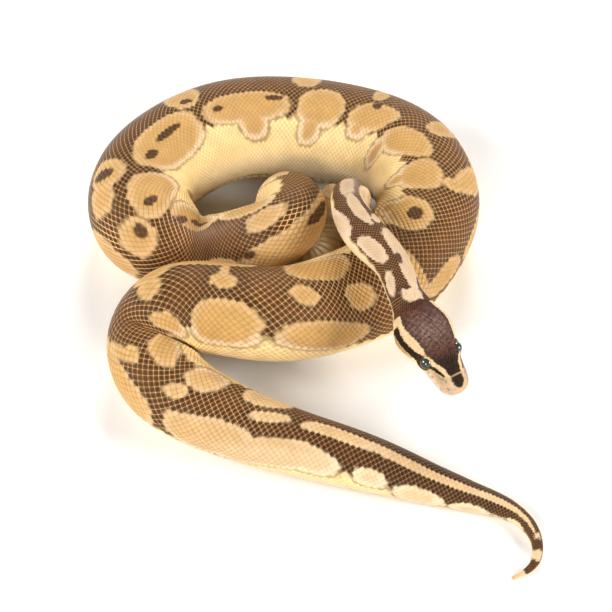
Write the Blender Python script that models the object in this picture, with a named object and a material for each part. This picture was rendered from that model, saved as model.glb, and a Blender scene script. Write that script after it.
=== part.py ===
"""Coiled ball python, a still life-size model resting on the floor.

The flesh is lofted along one centre line, from the nape to the tip of the tail, and divided into
named lengths by thin cuts.  The head is its own loft, parted into skull and lower jaw, with the two
eyes seated in sockets.  Lengths are in millimetres and become metres as the bodies are written.
"""

import bmesh
import bpy
import numpy as np
from mathutils import Matrix, Vector

MODEL_NAME = "coiled_ball_python"
MM = 0.001

# Centre line: x, y, z of the middle of the body and its radius, from the snout to the tail.
HEAD_LINE = ((73.6, -60.1, 43.9, 6.0), (60.7, -38.3, 52.7, 9.0))
NECK_LINE = (
    (48.2, -16.8, 61.4, 9.3), (41.5, 0.0, 65.0, 9.7), (31.0, 14.5, 65.0, 11.1),
    (22.5, 30.0, 62.5, 10.4), (19.5, 45.5, 58.0, 9.2), (21.5, 54.5, 49.5, 9.4),
)
DESCENT_LINE = (
    (23.0, 57.5, 38.0, 9.9), (18.5, 62.0, 30.5, 10.3), (14.5, 68.5, 24.5, 10.6),
    (12.0, 69.0, 17.5, 10.7),
)
UNDERPASS_LINE = (
    (9.8, 62.5, 11.0, 10.8), (9.6, 50.0, 10.7, 11.0), (6.5, 39.6, 10.8, 11.1),
    (-2.5, 35.3, 11.0, 11.3), (-9.8, 38.3, 11.3, 11.5), (-14.0, 47.0, 11.8, 11.9),
    (-16.5, 56.0, 13.0, 12.4),
)
INNER_BEND_LINE = (
    (-17.0, 64.0, 18.0, 13.0), (-15.5, 66.0, 27.0, 13.8), (-11.5, 62.5, 35.5, 14.8),
    (-7.5, 54.0, 41.5, 16.0), (-8.0, 45.0, 45.0, 17.0), (-12.5, 38.0, 45.5, 18.0),
)
INNER_LIMB_LINE = (
    (-20.0, 34.5, 42.5, 18.7), (-33.0, 35.0, 34.0, 19.0), (-46.0, 37.0, 25.5, 19.0),
    (-58.0, 38.2, 22.0, 20.0), (-71.0, 41.3, 23.2, 24.0),
)
OUTER_COIL_LINE = (
    (-85.5, 51.8, 26.3, 28.6), (-89.2, 75.0, 27.2, 28.6), (-72.0, 98.7, 27.0, 28.4),
    (-45.3, 113.7, 26.7, 28.0), (-10.6, 116.3, 26.7, 28.0), (23.7, 110.0, 26.7, 28.0),
    (53.3, 93.3, 26.7, 28.0), (63.0, 63.5, 26.7, 28.0), (55.5, 39.0, 26.5, 27.3),
)
FRONT_LOOP_LINE = (
    (40.0, 17.5, 25.7, 26.7), (14.0, 3.0, 25.5, 26.0), (-8.0, -7.0, 31.0, 25.2),
    (-30.0, -10.5, 36.5, 24.7), (-53.0, -7.1, 36.3, 24.1), (-70.0, -7.5, 33.0, 24.0),
    (-80.5, -16.0, 25.0, 23.6), (-77.7, -37.2, 22.2, 22.9),
)
REAR_LINE = (
    (-50.0, -59.7, 19.5, 20.4), (-11.6, -74.7, 16.8, 17.5), (31.5, -87.3, 14.0, 14.6),
    (64.7, -97.4, 9.9, 10.3),
)
TAIL_LINE = (
    (88.6, -104.2, 6.9, 7.2), (105.5, -112.5, 4.9, 5.1), (113.0, -125.5, 3.4, 3.5),
    (111.0, -137.0, 2.6, 2.7), (100.8, -144.0, 1.4, 1.4),
)
CENTRE_LINE = (
    HEAD_LINE + NECK_LINE + DESCENT_LINE + UNDERPASS_LINE + INNER_BEND_LINE
    + INNER_LIMB_LINE + OUTER_COIL_LINE + FRONT_LOOP_LINE + REAR_LINE + TAIL_LINE
)
# Roll of the back about the centre line: distance from the snout and degrees.
ROLL_STATIONS = (
    (0.0, 8.0), (50.0, -4.0), (110.0, 10.0), (180.0, 0.0), (600.0, 4.0), (682.0, 4.0),
    (752.0, 38.0), (840.0, 28.0), (918.0, -26.0), (995.0, -4.0), (1064.0, 0.0),
)
# Named lengths: where each one ends, as a distance from the snout, and the sides of its sections.
LENGTHS = (
    ("neck", 112.0, 20), ("neck_fold", 153.0, 20), ("trunk_01", 198.0, 20),
    ("trunk_02", 242.0, 20), ("trunk_03", 281.0, 20), ("trunk_04", 328.0, 24),
    ("trunk_05", 377.0, 24), ("trunk_06", 436.0, 24), ("trunk_07", 500.0, 24),
    ("trunk_08", 570.0, 24), ("trunk_09", 636.0, 24), ("trunk_10", 702.0, 24),
    ("trunk_11", 772.0, 24), ("trunk_12", 838.0, 24), ("trunk_13", 900.0, 24),
    ("trunk_14", 966.0, 20), ("tail_base", 1020.0, 20), ("tail_tip", 1100.0, 16),
)
NAPE = 54.0            # distance from the snout to the first cut
CUT = 0.3              # gap left by each thin cut
LENGTH_GAP = 0.4       # gap between lengths that lie against each other
OWN_LENGTH = 1.3       # radii along the body within which stations belong to one length
SQUEEZE_LEAST = 0.3    # least share of the radius where two lengths press together
SQUEEZE_STEPS = 60
CREASE = 0.88          # share of the bend's radius that the inner side may fill
RING_ANGLE = 0.22      # turn of the body between two rings, radians
RING_STEP_MIN = 3.2
RING_STEP_MAX = 10.5
STATION_TRIES = 400    # places along a length at which its ring spacing is worked out
BEND_WINDOW = 7        # millimetres over which the bend is averaged
TIP_RINGS = 3          # rings that round off the tip of the tail

# Head sections: distance in front of the nape, half width, height of the widest line, of the
# crown and of the throat from the axis, and squareness of the outline (2 is an ellipse).
HEAD_SECTIONS = (
    (3.0, 9.6, -0.8, 8.4, -9.1, 2.0), (7.0, 11.1, -2.2, 7.7, -9.2, 2.1),
    (11.0, 12.8, -3.6, 7.2, -9.3, 2.2), (15.5, 14.7, -4.3, 7.0, -9.2, 2.3),
    (20.0, 15.7, -4.5, 7.0, -9.0, 2.4), (24.0, 15.3, -4.3, 7.1, -8.6, 2.4),
    (28.0, 14.2, -3.8, 7.2, -8.1, 2.4), (32.0, 12.7, -3.2, 7.2, -7.6, 2.4),
    (36.5, 11.3, -2.4, 7.0, -7.0, 2.4), (41.0, 10.2, -1.9, 6.4, -6.4, 2.4),
    (45.5, 9.5, -1.5, 5.7, -5.9, 2.5), (49.5, 8.9, -1.2, 4.9, -5.5, 2.5),
    (52.5, 8.0, -1.0, 4.2, -5.1, 2.4), (54.6, 6.5, -0.8, 3.3, -4.4, 2.3),
    (56.2, 4.4, -0.7, 2.2, -3.3, 2.2),
)
HEAD_TIP = 56.9
HEAD_SIDES = 24
EYE_SEGMENTS = 16
EYE_RINGS = 10
EYE_RADIUS = 3.2
EYE_CENTRE = (35.8, 9.3, 2.8)      # in front of the nape, to the side, above the axis
MOUTH_FRONT = (59.0, -2.1)         # in front of the nape, above the axis
MOUTH_CORNER = (13.0, -5.2)
JAW_CUT_LEAN = 20.0                # degrees by which the cut behind the jaw leans forward
CUTTER_SPAN = 50.0
SMALLEST = 1e-6                    # keeps a divisor off zero
STRAIGHT = 1e-14                   # below this the centre line doesn't turn

MATERIALS = {
    "body_scales": ((0.33, 0.20, 0.10, 1.0), 0.42),
    "head_scales": ((0.16, 0.08, 0.07, 1.0), 0.38),
    "eye_surface": ((0.02, 0.02, 0.03, 1.0), 0.08),
}


def natural_spline(points, count):
    """Return count points on the natural cubic through the rows, by chord length."""
    knots = np.asarray(points, float)
    chords = np.linalg.norm(np.diff(knots, axis=0), axis=1)
    at = np.concatenate([[0.0], np.cumsum(chords)])
    size = len(knots)
    system = np.eye(size)
    right = np.zeros_like(knots)
    for i in range(1, size - 1):
        before, after = chords[i - 1], chords[i]
        system[i, i - 1 : i + 2] = before, 2 * (before + after), after
        rise = (knots[i + 1] - knots[i]) / after
        right[i] = 6 * (rise - (knots[i] - knots[i - 1]) / before)
    bend = np.linalg.solve(system, right)
    t = np.linspace(0.0, at[-1], count)
    k = np.clip(np.searchsorted(at, t, side="right") - 1, 0, size - 2)
    span = chords[k][:, None]
    a = ((at[k + 1] - t) / chords[k])[:, None]
    b = 1 - a
    curve = (a**3 - a) * bend[k] + (b**3 - b) * bend[k + 1]
    return a * knots[k] + b * knots[k + 1] + curve * span**2 / 6


def eased(stations, at):
    """Return values that ease from one station to the next."""
    table = np.array(stations, float)
    k = np.clip(np.searchsorted(table[:, 0], at, side="right") - 1, 0, len(table) - 2)
    share = np.clip((at - table[k, 0]) / (table[k + 1, 0] - table[k, 0]), 0.0, 1.0)
    share = share * share * (3 - 2 * share)
    return table[k, 1] + (table[k + 1, 1] - table[k, 1]) * share


class CentreLine:
    """The body's middle, radius, bend and rolled frame at every millimetre from the snout."""

    SAMPLES = 6001

    def __init__(self):
        dense = natural_spline(CENTRE_LINE, self.SAMPLES)
        steps = np.linalg.norm(np.diff(dense[:, :3], axis=0), axis=1)
        run = np.concatenate([[0.0], np.cumsum(steps)])
        self.at = np.linspace(0.0, run[-1], int(round(run[-1])) + 1)
        rows = np.stack([np.interp(self.at, run, dense[:, i]) for i in range(4)], 1)
        self.middle, self.radius = rows[:, :3], rows[:, 3]
        self.along = unit(np.gradient(self.middle, axis=0))
        self.bend = self.smoothed_bend()
        self.back, self.side = self.rolled_frame()

    def smoothed_bend(self):
        """Return the curvature vectors, averaged over a short window."""
        raw = np.gradient(self.along, self.at, axis=0)
        window = np.ones(BEND_WINDOW) / BEND_WINDOW
        return np.stack([np.convolve(raw[:, i], window, "same") for i in range(3)], 1)

    def rolled_frame(self):
        """Return the direction of the back and of the side, carried along and rolled."""
        up = np.array([0.0, 0.0, 1.0])
        carried = [unit(up - up.dot(self.along[0]) * self.along[0])]
        for i in range(1, len(self.at)):
            carried.append(self.carry(carried[-1], i))
        back = np.array(carried)
        side = np.cross(self.along, back)
        angle = np.radians(eased(ROLL_STATIONS, self.at))[:, None]
        rolled = back * np.cos(angle) + side * np.sin(angle)
        return rolled, np.cross(self.along, rolled)

    def carry(self, back, i):
        """Carry the back's direction one step on by two reflections."""
        step = self.middle[i] - self.middle[i - 1]
        mirrored = back - 2 / step.dot(step) * step.dot(back) * step
        heading = self.along[i - 1] - 2 / step.dot(step) * step.dot(self.along[i - 1]) * step
        turn = self.along[i] - heading
        weight = turn.dot(turn)
        if weight > STRAIGHT:
            mirrored = mirrored - 2 / weight * turn.dot(mirrored) * turn
        return unit(mirrored - mirrored.dot(self.along[i]) * self.along[i])

    def sample(self, field, distance):
        """Return one field, such as middle or back, at a distance from the snout."""
        values = getattr(self, field)
        if values.ndim == 1:
            return np.interp(distance, self.at, values)
        return np.array([np.interp(distance, self.at, values[:, i]) for i in range(3)])

    def ring(self, distance, sides, scale=1.0):
        """Return one section: round, pressed in where lengths meet and flat on the floor."""
        middle = self.sample("middle", distance)
        radius = self.sample("radius", distance)
        bend = self.sample("bend", distance)
        back = self.sample("back", distance)
        side = self.sample("side", distance)
        others = self.neighbours(distance, middle, radius)
        corners = []
        for angle in np.arange(sides) * 2 * np.pi / sides:
            out = back * np.cos(angle) + side * np.sin(angle)
            reach = min(radius * scale, CREASE / max(bend.dot(out), SMALLEST))
            reach = min(reach, middle[2] / max(-out[2], SMALLEST))
            reach = self.clear_reach(middle, radius, out, reach, others)
            corner = middle + reach * out
            corner[2] = max(corner[2], 0.0)
            corners.append(corner)
        return corners

    def neighbours(self, distance, middle, radius):
        """Return the stations of other lengths that come near a section."""
        away = np.abs(self.at - distance) > OWN_LENGTH * radius
        close = np.linalg.norm(self.middle - middle, axis=1) < self.radius + radius + 2 * CUT
        return np.nonzero(away & close)[0][::2]

    def clear_reach(self, middle, radius, out, reach, others):
        """Shorten a reach so that its corner stays on its own side of the gap to the others."""
        if len(others) == 0:
            return reach
        tries = np.linspace(reach, reach * SQUEEZE_LEAST, SQUEEZE_STEPS)
        points = middle + tries[:, None] * out
        apart = np.linalg.norm(points[:, None] - self.middle[others][None], axis=2)
        room = (apart - self.radius[others]).min(axis=1) - (tries - radius)
        clear = np.nonzero(room >= LENGTH_GAP)[0]
        return tries[clear[0]] if len(clear) else tries[-1]

    def stations(self, start, end):
        """Return ring distances from start to end, closer together where the body bends."""
        fine = np.linspace(start, end, STATION_TRIES)
        turn = np.array([np.linalg.norm(self.sample("bend", s)) for s in fine])
        step = np.clip(RING_ANGLE / np.maximum(turn, SMALLEST), RING_STEP_MIN, RING_STEP_MAX)
        density = np.cumsum((end - start) / STATION_TRIES / step)
        rings = max(2, int(np.ceil(density[-1])))
        return np.interp(np.linspace(density[0], density[-1], rings + 1), density, fine)


def unit(rows):
    """Return the rows, or the one vector, at length one."""
    return rows / np.linalg.norm(rows, axis=-1, keepdims=True)


def clear_scene():
    """Remove the objects of the open scene."""
    for item in list(bpy.data.objects):
        bpy.data.objects.remove(item, do_unlink=True)


def new_collection(name):
    """Add a collection to the scene."""
    group = bpy.data.collections.new(name)
    bpy.context.scene.collection.children.link(group)
    return group


def new_material(name):
    """Make the Principled material of one slot."""
    colour, roughness = MATERIALS[name]
    material = bpy.data.materials.new(name)
    material.use_nodes = True
    shader = material.node_tree.nodes["Principled BSDF"]
    shader.inputs["Base Color"].default_value = colour
    shader.inputs["Roughness"].default_value = roughness
    shader.inputs["Metallic"].default_value = 0.0
    material.diffuse_color = colour
    return material


def new_object(mesh, name, material, group):
    """Link a mesh as a named object with its material."""
    item = bpy.data.objects.new(name, mesh)
    item.data.name = name
    item.data.materials.append(material)
    group.objects.link(item)
    return item


def loft(rings, name, tip=None):
    """Join rings of equal count into one closed mesh, with a flat cap at each open end."""
    form = bmesh.new()
    rows = [[form.verts.new(Vector(p) * MM) for p in ring] for ring in rings]
    sides = len(rows[0])
    for near, far in zip(rows, rows[1:]):
        for i in range(sides):
            j = (i + 1) % sides
            form.faces.new((near[i], near[j], far[j], far[i]))
    form.faces.new(list(reversed(rows[0])))
    if tip is None:
        form.faces.new(rows[-1])
    else:
        point = form.verts.new(Vector(tip) * MM)
        for i in range(sides):
            form.faces.new((rows[-1][i], rows[-1][(i + 1) % sides], point))
    bmesh.ops.recalc_face_normals(form, faces=form.faces)
    shade_sides(form, sides)
    mesh = bpy.data.meshes.new(name)
    form.to_mesh(mesh)
    form.free()
    return mesh


def shade_sides(form, sides):
    """Shade the round sides smooth and leave the flat caps flat."""
    for face in form.faces:
        face.smooth = len(face.verts) < sides


def build_length(line, name, start, end, sides, material, group):
    """Loft one named length between two cuts; the last one ends in a rounded tip."""
    tail_end = line.at[-1]
    last = min(end - CUT / 2, tail_end)
    rings = [line.ring(s, sides) for s in line.stations(start + CUT / 2, last)]
    tip = None
    if end > tail_end:
        heading = line.sample("along", tail_end)
        reach = line.sample("radius", tail_end)
        for k in range(1, TIP_RINGS):
            angle = np.pi / 2 * k / TIP_RINGS
            ring = line.ring(tail_end, sides, float(np.cos(angle)))
            rings.append([p + heading * reach * np.sin(angle) for p in ring])
        tip = line.middle[-1] + heading * reach
    return new_object(loft(rings, name, tip), name, material, group)


def head_matrix(line):
    """Place the head: its own X runs forward from the nape, Y to its left and Z up."""
    nape = line.sample("middle", NAPE)
    forward = unit(line.middle[0] - nape)
    back = line.sample("back", NAPE / 2)
    back = unit(back - back.dot(forward) * forward)
    placed = Matrix((forward, np.cross(back, forward), back)).transposed().to_4x4()
    placed.translation = Vector(nape) * MM
    return placed


def head_ring(distance, half_width, level, crown, throat, square):
    """Return one section of the head in its own axes."""
    corners = []
    for angle in np.arange(HEAD_SIDES) * 2 * np.pi / HEAD_SIDES:
        across, up = np.sin(angle), np.cos(angle)
        height = crown - level if up > 0 else level - throat
        corners.append((
            distance,
            half_width * np.sign(across) * abs(across) ** (2 / square),
            level + height * np.sign(up) * abs(up) ** (2 / square),
        ))
    return corners


def move_to(item, group):
    """Move an object from its collections to one."""
    for owner in list(item.users_collection):
        owner.objects.unlink(item)
    group.objects.link(item)


def hide_cutter(cutter):
    """Mark an object as a cutter."""
    cutter.hide_render = True
    cutter.display_type = "WIRE"
    bpy.context.view_layer.update()


def add_slab(name, middle, turn, size, placed, group):
    """Add a cutting slab, placed and turned about the head's own Y."""
    bpy.ops.mesh.primitive_cube_add(size=1.0)
    slab = bpy.context.active_object
    slab.name = slab.data.name = name
    spread = Matrix.Diagonal(Vector(size) * MM).to_4x4()
    shift = Matrix.Translation(Vector(middle) * MM)
    slab.matrix_world = placed @ shift @ Matrix.Rotation(turn, 4, "Y") @ spread
    move_to(slab, group)
    hide_cutter(slab)
    return slab


def cut(item, cutter):
    """Take a cutter's shape out of a body."""
    step = item.modifiers.new(cutter.name, "BOOLEAN")
    step.operation = "DIFFERENCE"
    step.solver = "EXACT"
    step.object = cutter
    bpy.context.view_layer.update()
    shaped = item.evaluated_get(bpy.context.evaluated_depsgraph_get())
    mesh = bpy.data.meshes.new_from_object(shaped)
    item.modifiers.clear()
    item.data = mesh
    mesh.name = item.name


def mouth_slabs(placed, group):
    """Make the slab of the mouth line and the slab behind the lower jaw."""
    front, corner = np.array(MOUTH_FRONT), np.array(MOUTH_CORNER)
    run = front - corner
    middle = (front + corner) / 2
    length = np.linalg.norm(run)
    slant = -np.arctan2(run[1], run[0])
    mouth = add_slab(
        "cutter_mouth", (middle[0], 0, middle[1]), slant, (length, CUTTER_SPAN, CUT), placed, group
    )
    lean = np.radians(JAW_CUT_LEAN)
    drop = CUTTER_SPAN / 4 - CUT
    below = (corner[0] + np.sin(lean) * drop, 0, corner[1] - np.cos(lean) * drop)
    jaw = add_slab(
        "cutter_jaw", below, -lean, (CUT, CUTTER_SPAN, CUTTER_SPAN / 2), placed, group
    )
    return mouth, jaw


def islands(form):
    """Return the sets of joined vertices of a mesh in separate pieces."""
    found = []
    left = set(form.verts)
    while left:
        reach = {next(iter(left))}
        island = set()
        while reach:
            vert = reach.pop()
            island.add(vert)
            reach |= {e.other_vert(vert) for e in vert.link_edges} - island
        left -= island
        found.append(island)
    return found


def piece_mesh(source, name, smallest):
    """Return a mesh of the smallest piece of a mesh, or of all the others."""
    form = bmesh.new()
    form.from_mesh(source)
    chosen = min(islands(form), key=len)
    drop = [v for v in form.verts if (v in chosen) != smallest]
    bmesh.ops.delete(form, geom=drop, context="VERTS")
    mesh = bpy.data.meshes.new(name)
    form.to_mesh(mesh)
    form.free()
    return mesh


def split_jaw(head, material, group):
    """Part the cut head into the skull and the lower jaw, the smaller of the two."""
    cut_head = head.data
    head.data = piece_mesh(cut_head, "head", False)
    jaw = new_object(piece_mesh(cut_head, "lower_jaw", True), "lower_jaw", material, group)
    jaw.matrix_world = head.matrix_world
    return jaw


def add_ball(name, radius, placed, group):
    """Add a sphere, its poles to the sides of the head, at a place in the scene."""
    bpy.ops.mesh.primitive_uv_sphere_add(
        segments=EYE_SEGMENTS, ring_count=EYE_RINGS, radius=radius * MM
    )
    ball = bpy.context.active_object
    ball.name = ball.data.name = name
    ball.matrix_world = placed @ Matrix.Rotation(np.pi / 2, 4, "X")
    ball.data.shade_smooth()
    move_to(ball, group)
    return ball


def build_eyes(head, placed, material, group, cutters):
    """Seat the two eyes in sockets cut a thin gap wider."""
    for name, hand in (("eye_left", 1), ("eye_right", -1)):
        ahead, across, above = EYE_CENTRE
        place = placed @ Matrix.Translation(Vector((ahead, hand * across, above)) * MM)
        socket = add_ball("cutter_" + name, EYE_RADIUS + CUT, place, cutters)
        hide_cutter(socket)
        cut(head, socket)
        eye = add_ball(name, EYE_RADIUS, place, group)
        eye.data.materials.append(material)


def build_head(line, materials, group, cutters):
    """Loft the head, part the jaw from it and seat the eyes."""
    placed = head_matrix(line)
    to_head = placed.inverted()
    first = [to_head @ (Vector(p) * MM) / MM for p in line.ring(NAPE - CUT / 2, HEAD_SIDES)]
    rings = [first] + [head_ring(*row) for row in HEAD_SECTIONS]
    tip = (HEAD_TIP, 0.0, HEAD_SECTIONS[-1][2])
    head = new_object(loft(rings, "head", tip), "head", materials["head_scales"], group)
    head.matrix_world = placed
    bpy.context.view_layer.update()
    for slab in mouth_slabs(placed, cutters):
        cut(head, slab)
    split_jaw(head, materials["head_scales"], group)
    build_eyes(head, placed, materials["eye_surface"], group, cutters)


def main():
    """Build the whole animal."""
    clear_scene()
    group = new_collection(MODEL_NAME)
    cutters = new_collection("cutters")
    materials = {name: new_material(name) for name in MATERIALS}
    line = CentreLine()
    start = NAPE
    for name, end, sides in LENGTHS:
        build_length(line, name, start, end, sides, materials["body_scales"], group)
        start = end
    build_head(line, materials, group, cutters)


main()
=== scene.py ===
"""Looks of a coiled ball python that rests on a plain floor.

One skin is lofted along the same centre line as the frame's solids, a coat's depth inside them.
Overlapping scales, belly plates, head scales and lip scales lie over it as solid shells.  The
markings are patches placed by their distance from the snout and their angle round the body, and
the skin and every scale read the same ones.  Lengths are in millimetres and become metres as the
meshes are written.
"""

import logging
from dataclasses import dataclass, field
from enum import Enum

import bpy
import numpy as np
from mathutils import Matrix, Vector


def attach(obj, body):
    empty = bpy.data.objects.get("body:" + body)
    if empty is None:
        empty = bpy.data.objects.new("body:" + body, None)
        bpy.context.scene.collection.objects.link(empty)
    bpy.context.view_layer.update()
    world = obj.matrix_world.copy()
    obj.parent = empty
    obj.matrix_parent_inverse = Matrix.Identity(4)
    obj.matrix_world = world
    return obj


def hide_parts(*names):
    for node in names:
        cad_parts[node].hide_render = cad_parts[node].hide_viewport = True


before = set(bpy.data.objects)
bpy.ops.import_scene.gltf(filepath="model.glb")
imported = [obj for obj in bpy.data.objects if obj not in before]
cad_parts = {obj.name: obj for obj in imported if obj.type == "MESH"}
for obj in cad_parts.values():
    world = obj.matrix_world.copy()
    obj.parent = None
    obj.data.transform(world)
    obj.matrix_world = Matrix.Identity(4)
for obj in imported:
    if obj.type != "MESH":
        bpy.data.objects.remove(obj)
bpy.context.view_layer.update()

log = logging.getLogger("ball_python")
MM = 0.001
Rows = np.ndarray

# Centre line: x, y, z of the middle of the body and its radius, from the snout to the tail.
CENTRE_LINE = (
    (73.6, -60.1, 43.9, 6.0), (60.7, -38.3, 52.7, 9.0), (48.2, -16.8, 61.4, 9.3),
    (41.5, 0.0, 65.0, 9.7), (31.0, 14.5, 65.0, 11.1), (22.5, 30.0, 62.5, 10.4),
    (19.5, 45.5, 58.0, 9.2), (21.5, 54.5, 49.5, 9.4), (23.0, 57.5, 38.0, 9.9),
    (18.5, 62.0, 30.5, 10.3), (14.5, 68.5, 24.5, 10.6), (12.0, 69.0, 17.5, 10.7),
    (9.8, 62.5, 11.0, 10.8), (9.6, 50.0, 10.7, 11.0), (6.5, 39.6, 10.8, 11.1),
    (-2.5, 35.3, 11.0, 11.3), (-9.8, 38.3, 11.3, 11.5), (-14.0, 47.0, 11.8, 11.9),
    (-16.5, 56.0, 13.0, 12.4), (-17.0, 64.0, 18.0, 13.0), (-15.5, 66.0, 27.0, 13.8),
    (-11.5, 62.5, 35.5, 14.8), (-7.5, 54.0, 41.5, 16.0), (-8.0, 45.0, 45.0, 17.0),
    (-12.5, 38.0, 45.5, 18.0), (-20.0, 34.5, 42.5, 18.7), (-33.0, 35.0, 34.0, 19.0),
    (-46.0, 37.0, 25.5, 19.0), (-58.0, 38.2, 22.0, 20.0), (-71.0, 41.3, 23.2, 24.0),
    (-85.5, 51.8, 26.3, 28.6), (-89.2, 75.0, 27.2, 28.6), (-72.0, 98.7, 27.0, 28.4),
    (-45.3, 113.7, 26.7, 28.0), (-10.6, 116.3, 26.7, 28.0), (23.7, 110.0, 26.7, 28.0),
    (53.3, 93.3, 26.7, 28.0), (63.0, 63.5, 26.7, 28.0), (55.5, 39.0, 26.5, 27.3),
    (40.0, 17.5, 25.7, 26.7), (14.0, 3.0, 25.5, 26.0), (-8.0, -7.0, 31.0, 25.2),
    (-30.0, -10.5, 36.5, 24.7), (-53.0, -7.1, 36.3, 24.1), (-70.0, -7.5, 33.0, 24.0),
    (-80.5, -16.0, 25.0, 23.6), (-77.7, -37.2, 22.2, 22.9), (-50.0, -59.7, 19.5, 20.4),
    (-11.6, -74.7, 16.8, 17.5), (31.5, -87.3, 14.0, 14.6), (64.7, -97.4, 9.9, 10.3),
    (88.6, -104.2, 6.9, 7.2), (105.5, -112.5, 4.9, 5.1), (113.0, -125.5, 3.4, 3.5),
    (111.0, -137.0, 2.6, 2.7), (100.8, -144.0, 1.4, 1.4),
)
# Roll of the back about the centre line: distance from the snout and degrees.
ROLL_STATIONS = (
    (0.0, 8.0), (50.0, -4.0), (110.0, 10.0), (180.0, 0.0), (600.0, 4.0), (682.0, 4.0),
    (752.0, 38.0), (840.0, 28.0), (918.0, -26.0), (995.0, -4.0), (1064.0, 0.0),
)
# Head sections: distance in front of the nape, half width, height of the widest line, of the
# crown and of the throat from the axis, and squareness of the outline (2 is an ellipse).
HEAD_SECTIONS = (
    (3.0, 9.6, -0.8, 8.4, -9.1, 2.0), (7.0, 11.1, -2.2, 7.7, -9.2, 2.1),
    (11.0, 12.8, -3.6, 7.2, -9.3, 2.2), (15.5, 14.7, -4.3, 7.0, -9.2, 2.3),
    (20.0, 15.7, -4.5, 7.0, -9.0, 2.4), (24.0, 15.3, -4.3, 7.1, -8.6, 2.4),
    (28.0, 14.2, -3.8, 7.2, -8.1, 2.4), (32.0, 12.7, -3.2, 7.2, -7.6, 2.4),
    (36.5, 11.3, -2.4, 7.0, -7.0, 2.4), (41.0, 10.2, -1.9, 6.4, -6.4, 2.4),
    (45.5, 9.5, -1.5, 5.7, -5.9, 2.5), (49.5, 8.9, -1.2, 4.9, -5.5, 2.5),
    (52.5, 8.0, -1.0, 4.2, -5.1, 2.4), (54.6, 6.5, -0.8, 3.3, -4.4, 2.3),
    (56.2, 4.4, -0.7, 2.2, -3.3, 2.2),
)
NAPE = 54.0
HEAD_TIP = 56.9
EYE_RADIUS = 3.2
EYE_CENTRE = (35.8, 9.3, 2.8)
MOUTH_FRONT = (59.0, -2.1)
MOUTH_CORNER = (13.0, -5.2)


def unit(rows: Rows) -> Rows:
    """Return vectors at length one."""
    return rows / np.maximum(np.linalg.norm(rows, axis=-1, keepdims=True), 1e-9)


def ramp(value: Rows, low: float, high: float) -> Rows:
    """Return a smooth step from 0 at low to 1 at high."""
    share = np.clip((value - low) / (high - low), 0.0, 1.0)
    return share * share * (3 - 2 * share)


def bell(value: Rows, width: float) -> Rows:
    """Return a smooth bump of height 1 at zero."""
    return np.exp(-((value / width) ** 2))


def natural_spline(points: Rows, count: int) -> Rows:
    """Sample the natural cubic through rows of numbers.

    Args:
        points: The rows that the curve passes through.
        count: How many samples to return.

    Returns:
        The samples, evenly spaced by chord length.
    """
    knots = np.asarray(points, float)
    chords = np.linalg.norm(np.diff(knots, axis=0), axis=1)
    at = np.concatenate([[0.0], np.cumsum(chords)])
    return cubic_through(at, knots, np.linspace(0.0, at[-1], count))


def cubic_through(at: Rows, knots: Rows, wanted: Rows) -> Rows:
    """Interpolate rows by a natural cubic.

    Args:
        at: Rising positions of the knots.
        knots: One row of values at each position.
        wanted: Positions at which values are wanted.

    Returns:
        One row of values for each wanted position.
    """
    gaps = np.diff(at)
    size = len(knots)
    system = np.eye(size)
    right = np.zeros_like(knots)
    for i in range(1, size - 1):
        before, after = gaps[i - 1], gaps[i]
        system[i, i - 1 : i + 2] = before, 2 * (before + after), after
        rise = (knots[i + 1] - knots[i]) / after
        right[i] = 6 * (rise - (knots[i] - knots[i - 1]) / before)
    bend = np.linalg.solve(system, right)
    k = np.clip(np.searchsorted(at, wanted, side="right") - 1, 0, size - 2)
    span = gaps[k][:, None]
    a = (at[k + 1] - wanted)[:, None] / span
    b = 1 - a
    curve = (a**3 - a) * bend[k] + (b**3 - b) * bend[k + 1]
    return a * knots[k] + b * knots[k + 1] + curve * span**2 / 6


def eased(stations: tuple, at: Rows) -> Rows:
    """Return values that ease from one station to the next.

    Args:
        stations: Pairs of a distance from the snout and a value.
        at: Distances from the snout.

    Returns:
        One value for each distance.
    """
    table = np.array(stations, float)
    k = np.clip(np.searchsorted(table[:, 0], at, side="right") - 1, 0, len(table) - 2)
    share = ramp((at - table[k, 0]) / (table[k + 1, 0] - table[k, 0]), 0.0, 1.0)
    return table[k, 1] + (table[k + 1, 1] - table[k, 1]) * share


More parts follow.
